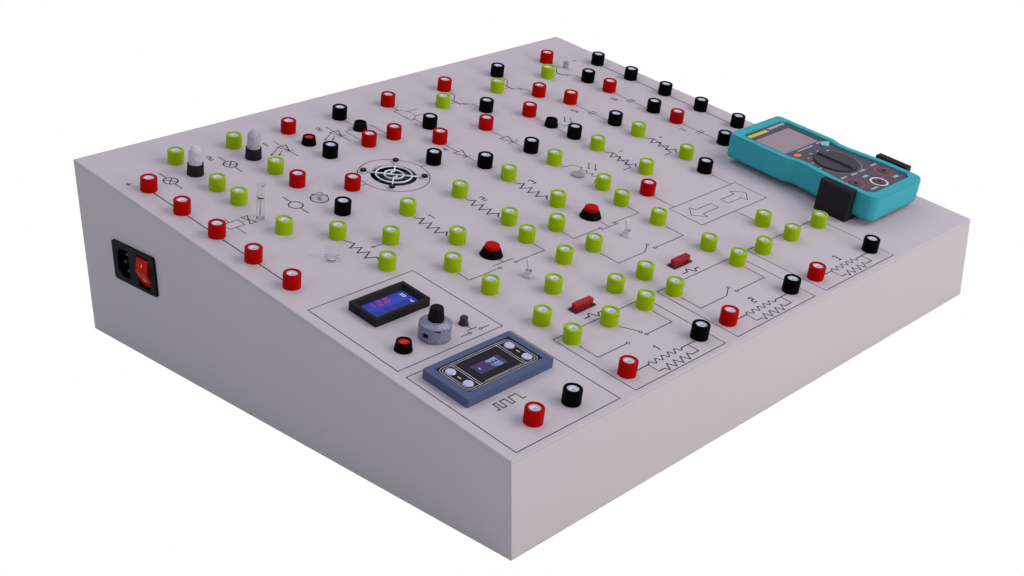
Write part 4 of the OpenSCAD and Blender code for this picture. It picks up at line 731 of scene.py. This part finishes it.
# Turns dial.
# A fixed housing and a turning scale ring of blasted aluminium with a coarse sparkle, a black drum
# behind the window, a short black index line, and a tapered black cap.
blasted = finish("blasted_metal", srgb(142, 144, 166), 0.45, 0.4, spread=3.5, size=1700, depth=0.0003)
cap_black = finish("cap_black", srgb(13, 11, 15), 0.5, spread=0.15, sheen=0.08)
dress(blasted, "dial_housing", "dial_scale_ring")
dress(cap_black, "dial_cap")
DIAL = (58.29, 131.41)
DRUM_R = 9.8
INDEX_R = 11.55
INDEX_TURN = -124
INDEX_HALF = 9
drum = bmesh.new()
turned(drum, *DIAL, ((DRUM_R, 1.4), (DRUM_R, 10.6)), sides=48)
piece("dial_drum", drum, cap_black, "turns_dial")
dash = bmesh.new()
turned(dash, *DIAL, ((INDEX_R, 9.8), (INDEX_R, 10.8)), sides=4, start=INDEX_TURN - INDEX_HALF,
       sweep=2 * INDEX_HALF)
piece("dial_index", dash, cap_black, "desk")
pot_blue = finish("pot_blue", srgb(50, 90, 130), 0.4)
dress(pot_blue, "dial_pot")

# Reset button, small bezels and their lamps.
# Turned black bezels; the two lamps in them are clear red, the two sensors are dark.
reset_grey = finish("reset_grey", srgb(52, 50, 58), 0.5, spread=0.15)
bezel_black = finish("bezel_black", srgb(5, 5, 7), 0.5, spread=0.2, sheen=0.04)
lens_red = finish("lens_red", srgb(196, 26, 14), 0.3, spread=0.05, depth=0.0, sheen=0.1,
                  Emission_Color=srgb(180, 16, 6), Emission_Strength=0.08)
dress(reset_grey, "reset_body", "reset_plunger")
dress(bezel_black, "lamp_bezels", "sensor_bezels")
dress(lens_red, "lamp_lenses")

# Pulse module.
# A blue-grey moulded frame round a black face with fine pale outlines, four bright round keys and
# a small display with pale blue figures.
slate = finish("slate_plastic", srgb(74, 87, 120), 0.5, spread=0.08, soft_edge=0.0004)
face_black = finish("face_black", srgb(26, 24, 32), 0.4, spread=0.1, sheen=0.12)
display_violet = finish("display_violet", srgb(70, 56, 96), 0.3, spread=0.2, depth=0.0)
key_silver = finish("key_silver", srgb(196, 200, 232), 0.25, 0.35, spread=0.2)
dress(slate, "pulse_frame")
dress(face_black, "pulse_face")
dress(display_violet, "pulse_screen")
dress(key_silver, "pulse_key_1", "pulse_key_2", "pulse_key_3", "pulse_key_4")
PULSE = (57.93, 78.29)
PULSE_FACE_H = 6.0
PULSE_H = PULSE_FACE_H + INK_H
FINE = 0.3
outlines = bmesh.new()


def rounded(x, s, w, d, r):
    """Points of a rounded rectangle."""
    corners = ((1, 1, 0), (-1, 1, 90), (-1, -1, 180), (1, -1, 270))
    return [point for i, k, turn in corners
            for point in round_points(x + i * (w / 2 - r), s + k * (d / 2 - r), r, turn, turn + 90, 5)]


def pulse_line(x, front, back, width):
    """An upright line on the face, from the module's middle."""
    ribbon(outlines, [(PULSE[0] + x, PULSE[1] + front), (PULSE[0] + x, PULSE[1] + back)], width, PULSE_H)


for inset in (0, 1.7):
    ribbon(outlines, rounded(*PULSE, 65.6 - 2 * inset, 30.4 - 2 * inset, 4 - inset), FINE, PULSE_H,
           closed=True)
for side in (-1, 1):
    pulse_line(side * 19.9, -14.2, 14.2, FINE)
    pulse_line(side * 21.7, -14.2, 14.2, FINE)
    pulse_line(side * 27.3, -1.6, 1.6, 0.8)
# a row of small dashes along the front
DASH_S = PULSE[1] - 12.3
for i in range(18):
    x = PULSE[0] - 15.6 + i * 1.9
    ribbon(outlines, [(x, DASH_S), (x + 1.2, DASH_S)], 0.45, PULSE_H)
piece("pulse_outlines", outlines, pale_ink, "desk")
READ_H = PULSE_FACE_H + 0.02
read_out = bmesh.new()
for signs, s in (("999", 2.4), ("100", -2.6)):
    for i, sign in enumerate(signs):
        digit(read_out, sign, PULSE[0] + 1.6 + i * 3, PULSE[1] + s, 3.4, 0.5, READ_H)
digit(read_out, "4", PULSE[0] - 9, PULSE[1] - 0.2, 2.4, 0.5, READ_H)
pale_blue = finish("pale_blue_figures", srgb(150, 190, 226), 0.4, spread=0.05, depth=0.0,
                   Emission_Color=srgb(130, 180, 226), Emission_Strength=0.3)
piece("pulse_figures", read_out, pale_blue, "desk")

# Push buttons and toggles.
# Black conical bezels with matt red caps; small nickelled toggles with a nut and a bright bat.
cap_red = finish("cap_red", srgb(170, 8, 2), 0.5, spread=0.1, sheen=0.05)
dress(bezel_black, "push_bodies")
dress(cap_red, "push_cap_1", "push_cap_2")
toggle_nickel = finish("toggle_nickel", srgb(206, 204, 212), 0.3, 0.35, spread=0.3, size=900)
dress(toggle_nickel, "toggle_bodies", "toggle_bat_1", "toggle_bat_2")

# Fuses.
# Clear red blade fuses, dull from handling, in smoky dark holders; their two pale blades show when
# a fuse is pulled out.
fuse_red = finish("fuse_red", srgb(146, 20, 26), 0.45, spread=2.6, size=1500, depth=0.0003,
                  Transmission_Weight=0.15)
holder_smoke = finish("holder_smoke", srgb(66, 50, 58), 0.5, spread=0.2, sheen=0.1)
dress(holder_smoke, "fuse_holders")
dress(fuse_red, "fuse_1", "fuse_2")


def standing(x, s, h):
    """The matrix that sets a shape in millimetres on the panel, upright to it."""
    return Matrix.Translation(at(x, s, h)) @ Matrix.Rotation(SLOPE, 4, "X") @ Matrix.Scale(0.001, 4)


FUSE_S = 98
BLADE_X = 5.6
BLADE_LOW = -10.89
BLADE_HIGH = -2.8
BLADE = (5.08, 0.88, BLADE_HIGH - BLADE_LOW)
for fuse, middle in (("fuse_1", 173.1), ("fuse_2", 287.1)):
    blades = bmesh.new()
    for x in (middle - BLADE_X, middle + BLADE_X):
        spot = standing(x, FUSE_S, (BLADE_LOW + BLADE_HIGH) / 2)
        bmesh.ops.create_cube(blades, size=1, matrix=spot @ Matrix.Diagonal((*BLADE, 1)))
    piece(fuse + "_blades", blades, nickel, fuse)

# Fan.
# A black axial fan under a round hole; over it a guard bent from white coated round wire, its two
# middle ends curling into an S, held by four black screws with crossed slots.
dress(black_plastic, "fan_frame")
rotor_grey = finish("rotor_grey", srgb(46, 46, 54), 0.5, spread=0.15)
dress(rotor_grey, "fan_rotor")
WIRE = 0.7


def tube(mesh, points, r, sides=10, closed=False, place=at):
    """A round wire through points given as x, s, h."""
    spots = [Vector(p) for p in points]
    count = len(spots)
    rings = []
    for i, spot in enumerate(spots):
        before = spots[i - 1] if i or closed else spot
        after = spots[(i + 1) % count] if i < count - 1 or closed else spot
        way = (after - before).normalized()
        up = Vector((0, 0, 1)) if abs(way.z) < 0.9 else Vector((1, 0, 0))
        side = way.cross(up).normalized()
        up = side.cross(way)
        rings.append([mesh.verts.new(place(*(spot + side * (r * math.cos(2 * math.pi * k / sides))
                                             + up * (r * math.sin(2 * math.pi * k / sides)))))
                      for k in range(sides)])
    pairs = list(zip(rings, rings[1:])) + ([(rings[-1], rings[0])] if closed else [])
    for one, two in pairs:
        for k in range(sides):
            j = (k + 1) % sides
            mesh.faces.new((one[k], one[j], two[j], two[k]))
    if not closed:
        mesh.faces.new(rings[0])
        mesh.faces.new(list(reversed(rings[-1])))
    bmesh.ops.recalc_face_normals(mesh, faces=mesh.faces)


GUARD_R = 19.4
RING_SHARES = (0.42, 0.78)
SCREW_SPAN = 36
EYE_R = 2.3
guard = bmesh.new()
for share in RING_SHARES:
    tube(guard, [(x, s, WIRE) for x, s in round_points(*FAN, GUARD_R * share, steps=40)[:-1]], WIRE,
         closed=True)
# four arms out to the screws' eyes, two of them from the curls in the middle
curl_r = GUARD_R * RING_SHARES[0] * 0.34
reach = SCREW_SPAN / math.sqrt(2)
for arm, start in ((45, 2 * curl_r), (135, 0), (225, 2 * curl_r), (315, 0)):
    c, n = math.cos(math.radians(arm)), math.sin(math.radians(arm))
    wire_line = [(FAN[0] + c * start, FAN[1] + n * start, WIRE),
                 (FAN[0] + c * (reach - 3), FAN[1] + n * (reach - 3), WIRE)]
    if start:
        curl = [(curl_r + curl_r * math.cos(math.radians(t)), curl_r * math.sin(math.radians(t)))
                for t in range(180, 0, -15)]
        wire_line = [(FAN[0] + c * u - n * v, FAN[1] + n * u + c * v, WIRE)
                     for u, v in curl] + wire_line
    tube(guard, wire_line, WIRE)
    eye = round_points(FAN[0] + c * reach, FAN[1] + n * reach, EYE_R, steps=20)[:-1]
    tube(guard, [(x, s, WIRE) for x, s in eye], WIRE * 0.98, closed=True)
white_wire = finish("white_wire", srgb(214, 214, 222), 0.4, spread=0.05)
guard_wire = piece("guard_wire", guard, white_wire, "desk")
for polygon in guard_wire.data.polygons:
    polygon.use_smooth = True
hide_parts("fan_guard")
screw_black = finish("screw_black", srgb(14, 14, 17), 0.35, 0.3, spread=0.1)
dress(screw_black, "fan_screws")
dress(white_wire, "fan_guard")
SCREW_HEAD = 1.5
SLOT_HALF = 1.6
SLOT_H = 2 * WIRE + SCREW_HEAD + 0.02
slots = bmesh.new()
for i in (-1, 1):
    for k in (-1, 1):
        x, s = FAN[0] + i * SCREW_SPAN / 2, FAN[1] + k * SCREW_SPAN / 2
        for turn in (20, 110):
            angle = math.radians(turn)
            c, n = SLOT_HALF * math.cos(angle), SLOT_HALF * math.sin(angle)
            ribbon(slots, [(x - c, s - n), (x + c, s + n)], 0.5, SLOT_H)
slot_grey = finish("slot_grey", srgb(60, 60, 66), 0.6, depth=0.0)
piece("screw_slots", slots, slot_grey, "desk")

# Motor, knob and solenoid.
# A clear disc on the motor's shaft, a clear knob over the bright end of its potentiometer's shaft,
# and a clear tube in which a steel plunger and its dark marker ring show. Bright rings sit at the
# feet of the tube and the knob on the panel. The tube's ring and a pale disc at the tube's foot are
# painted light: they hide the shade in the gap round the tube and in its base.
clear = finish("clear_plastic", srgb(250, 250, 252), 0.03, spread=0.02, depth=0.0,
               Transmission_Weight=1.0, IOR=1.07)
knob_clear = finish("knob_clear", srgb(250, 248, 252), 0.06, spread=0.04, depth=0.0,
                    Transmission_Weight=1.0, IOR=1.1)
dress(toggle_nickel, "motor_can", "knob_pot")
dress(clear, "motor_disc", "solenoid_tube")
dress(knob_clear, "clear_knob")
copper = finish("winding", srgb(150, 78, 40), 0.35, 0.6, spread=0.3, size=500)
plunger = finish("plunger_steel", srgb(206, 186, 190), 0.4, spread=0.1)
dress(copper, "solenoid_coil")
dress(plunger, "solenoid_plunger")
TUBE = (63.72, 333.68)
KNOB = (68.58, 253.5)
# pale rings round the feet of the tube and the knob; the tube's ring is painted light over the shade in
# the gap round it
foot_rings = bmesh.new()
for spot, inside, outside in ((TUBE, 3.32, 4.4), (KNOB, 3.1, 5.4)):
    ribbon(foot_rings, round_points(*spot, (inside + outside) / 2)[:-1], outside - inside, 0.08,
           closed=True)
piece("pale_foot_rings_gap_light", foot_rings, toggle_nickel, "desk")


def disc(spot, r, h):
    """A flat round face over the panel."""
    mesh = bmesh.new()
    bmesh.ops.create_circle(mesh, cap_ends=True, radius=r, segments=28, matrix=standing(*spot, h))
    return mesh


piece("knob_shaft_end", disc(KNOB, 3.05, 0.6), toggle_nickel, "clear_knob")
# a pale disc at the tube's foot, riding with the plunger: painted light over the dark well inside the
# tube's base
piece("tube_base_shade_cover", disc(TUBE, 2.5, 0.1), plunger, "solenoid_plunger")
marker = bmesh.new()
tube(marker, [(x, s, 17.6) for x, s in round_points(*TUBE, 2.1)[:-1]], 0.45, closed=True)
piece("plunger_marker", marker, cap_black, "solenoid_plunger")

# Lamps and small sensors.
# Two frosted bulbs in ribbed dark holders; a grey heat sensor and a flat light cell with a fine
# zigzag track.
lamp_holder = finish("lamp_holder", srgb(33, 28, 35), 0.55, spread=0.15, sheen=0.1)
frosted = finish("frosted_glass", srgb(198, 190, 202), 0.4, spread=2.4, size=1100, depth=0.0004,
                 Transmission_Weight=0.35)
sensor_grey = finish("sensor_grey", srgb(160, 158, 160), 0.5, spread=0.15)
dress(lamp_holder, "lamp_holders")
dress(frosted, "lamp_bulbs")
dress(sensor_grey, "small_sensors")
CELL = (336.05, 249.5)
TRACK_HALF = 3.6
TRACK_PITCH = 1.1
track = bmesh.new()
path = []
for i in range(7):
    s = CELL[1] - 3 * TRACK_PITCH + i * TRACK_PITCH
    ends = [(CELL[0] - TRACK_HALF, s), (CELL[0] + TRACK_HALF, s)]
    path += ends[::-1] if i % 2 else ends
ribbon(track, path, FINE, 2.03)
track_tan = finish("cell_track", srgb(120, 110, 84), 0.4, depth=0.0)
piece("cell_track", track, track_tan, "desk")

# Pocket meter and cradle.
# A flat meter with a dark face in a waisted teal rubber holster: a sunk grey display with a yellow
# and a pale bar above it, a round selector with a bar grip and marks round it, three jacks with red
# and white rings, and a half round key. It lies between the arms of a black cradle.
POCKET = (514.69, 42.99)
REST_H = 5.3
HOLSTER_H = 21.5
FACE_DEPTH = 1.8
FACE_H = REST_H + HOLSTER_H - FACE_DEPTH
SELECTOR = (-0.7, 65)


def on_meter(x, s, h):
    """A place on the meter's face, from the middle of its front end."""
    return at(POCKET[0] + x, POCKET[1] + s, FACE_H + h)


def on_selector(turn, r):
    """A place beside the selector, turned from its back towards the right."""
    angle = math.radians(turn)
    return SELECTOR[0] + r * math.sin(angle), SELECTOR[1] + r * math.cos(angle)


def bar(mesh, x, s, w, d):
    """A plain printed bar round its middle."""
    slab(mesh, x - w / 2, s - d / 2, x + w / 2, s + d / 2, INK_H, on_meter)


teal = finish("teal_rubber", srgb(54, 162, 174), 0.55, spread=0.06, size=1200, depth=0.00008,
              soft_edge=0.001)
meter_face = finish("meter_face", srgb(82, 79, 90), 0.5, spread=0.08)
selector_grey = finish("selector_grey", srgb(64, 62, 70), 0.5, spread=0.1, soft_edge=0.0004)
key_teal = finish("key_teal", srgb(126, 190, 198), 0.45, spread=0.05)
cradle_black = finish("cradle_black", srgb(27, 24, 31), 0.55, spread=0.12, soft_edge=0.0004)
dress(teal, "pocket_holster")
dress(meter_face, "pocket_front_plate")
dress(selector_grey, "pocket_selector")
dress(key_teal, "pocket_button")
dress(cradle_black, "meter_cradle")
DISPLAY_SUNK = 0.6
glass = bmesh.new()
slab(glass, -26.7, 101.2, 26.7, 134.8, INK_H - DISPLAY_SUNK, on_meter)
lcd = finish("display_grey", srgb(150, 136, 146), 0.35, spread=0.12, size=500, depth=0.0)
piece("meter_display", glass, lcd, "pocket_meter")
yellows = bmesh.new()
bar(yellows, -12.6, 141, 28.4, 4.4)
yellow = finish("yellow_bar", srgb(206, 184, 84), 0.5, spread=0.5, size=500, depth=0.0)
piece("meter_yellow_bar", yellows, yellow, "pocket_meter")
# pale bars behind the display, round the selector and beside the jacks
MARK_R = 23.8
pale = bmesh.new()
for x, s, w, d in ((17.4, 142.5, 24.6, 3.4), (-0.5, 98, 23, 1.8), (22, 98.6, 7, 2)):
    bar(pale, x, s, w, d)
for turn in (-88, -12, 13, 38.5):
    bar(pale, *on_selector(turn, MARK_R), 3.4, 1.8)
for turn in (-164, 165):
    bar(pale, *on_selector(turn, 24), 9, 2.4)
for x, s, w, d in ((25.6, 43, 9, 2.4), (-2.3, 33.8, 7.4, 3), (-22.4, 43, 9, 2), (22, 18, 7, 3.2),
                   (-16.5, 15.8, 10, 2.2)):
    bar(pale, x, s, w, d)
around = [on_selector(turn, 22.6) for turn in range(100, 261, 8)]
ribbon(pale, around, 0.4, INK_H, on_meter)
grey_ink = finish("grey_ink", srgb(164, 162, 176), 0.5, spread=0.05, depth=0.0)
piece("meter_pale_marks", pale, grey_ink, "pocket_meter")
# red rings round the outer jacks, two red marks, and a warning triangle beside each outer jack
reds = bmesh.new()
for x, s in ((-23.5, 30.5), (22.2, 30.5)):
    ribbon(reds, round_points(x, s, 7.6)[:-1], 1.2, 0.06, on_meter, closed=True)
for turn in (63.8, 89.1):
    bar(reds, *on_selector(turn, 24.4), 3, 1.6)
for x, s in ((-12.4, 24.6), (10.2, 24.6)):
    reds.faces.new([reds.verts.new(on_meter(x + i, s + k, INK_H))
                    for i, k in ((-1.6, -1.2), (1.6, -1.2), (0, 1.6))])
ring_red = finish("ring_red", srgb(196, 48, 54), 0.5, spread=0.05, depth=0.0)
piece("meter_red_marks", reds, ring_red, "pocket_meter")
# white ring round the middle jack
whites = bmesh.new()
ribbon(whites, round_points(-1.3, 20.6, 7.4)[:-1], 1.6, 0.07, on_meter, closed=True)
piece("meter_white_ring", whites, pale_ink, "pocket_meter")
# an orange oval in front of the display, and two orange marks
OVAL = (-19.3, 93.2)
oval_turns = [math.radians(a) for a in range(0, 360, 20)]
oranges = bmesh.new()
oranges.faces.new([oranges.verts.new(on_meter(OVAL[0] + 4.6 * math.cos(t), OVAL[1] + 2.8 * math.sin(t),
                                              INK_H)) for t in oval_turns])
for turn in (-62.7, -37.4):
    bar(oranges, *on_selector(turn, MARK_R), 3, 1.8)
orange = finish("orange_spot", srgb(206, 128, 66), 0.5, spread=0.5, size=500, depth=0.0)
piece("meter_orange_marks", oranges, orange, "pocket_meter")
# the key's half round cap, its top slightly smaller
KEY_X = 24
KEY_S = 92.6
KEY_LOW = 0.85
KEY_HIGH = 1.5
KEY_TAPER = 0.92
key_cap = bmesh.new()
half_round = [(KEY_X + 6.4 * math.cos(math.radians(a)), KEY_S - 1 + 5 * math.sin(math.radians(a)))
              for a in range(0, 181, 12)]
foot = key_cap.faces.new([key_cap.verts.new(on_meter(x, s, KEY_LOW)) for x, s in half_round])
grown = bmesh.ops.extrude_face_region(key_cap, geom=[foot])["geom"]
top = [part for part in grown if isinstance(part, bmesh.types.BMVert)]
bmesh.ops.translate(key_cap, vec=UPRIGHT * (KEY_HIGH - KEY_LOW), verts=top)
key_middle = standing(POCKET[0] + KEY_X, POCKET[1] + KEY_S, FACE_H)
bmesh.ops.scale(key_cap, vec=(KEY_TAPER, KEY_TAPER, 1), space=key_middle.inverted(), verts=top)
bmesh.ops.recalc_face_normals(key_cap, faces=key_cap.faces)
piece("meter_key_cap", key_cap, key_teal, "pocket_button")

# Power supply.
# A closed box on the base plate inside the housing, in plain folded aluminium.
supply_metal = finish("supply_metal", srgb(170, 174, 182), 0.4, 0.8, spread=0.1, size=700)
dress(supply_metal, "power_supply")
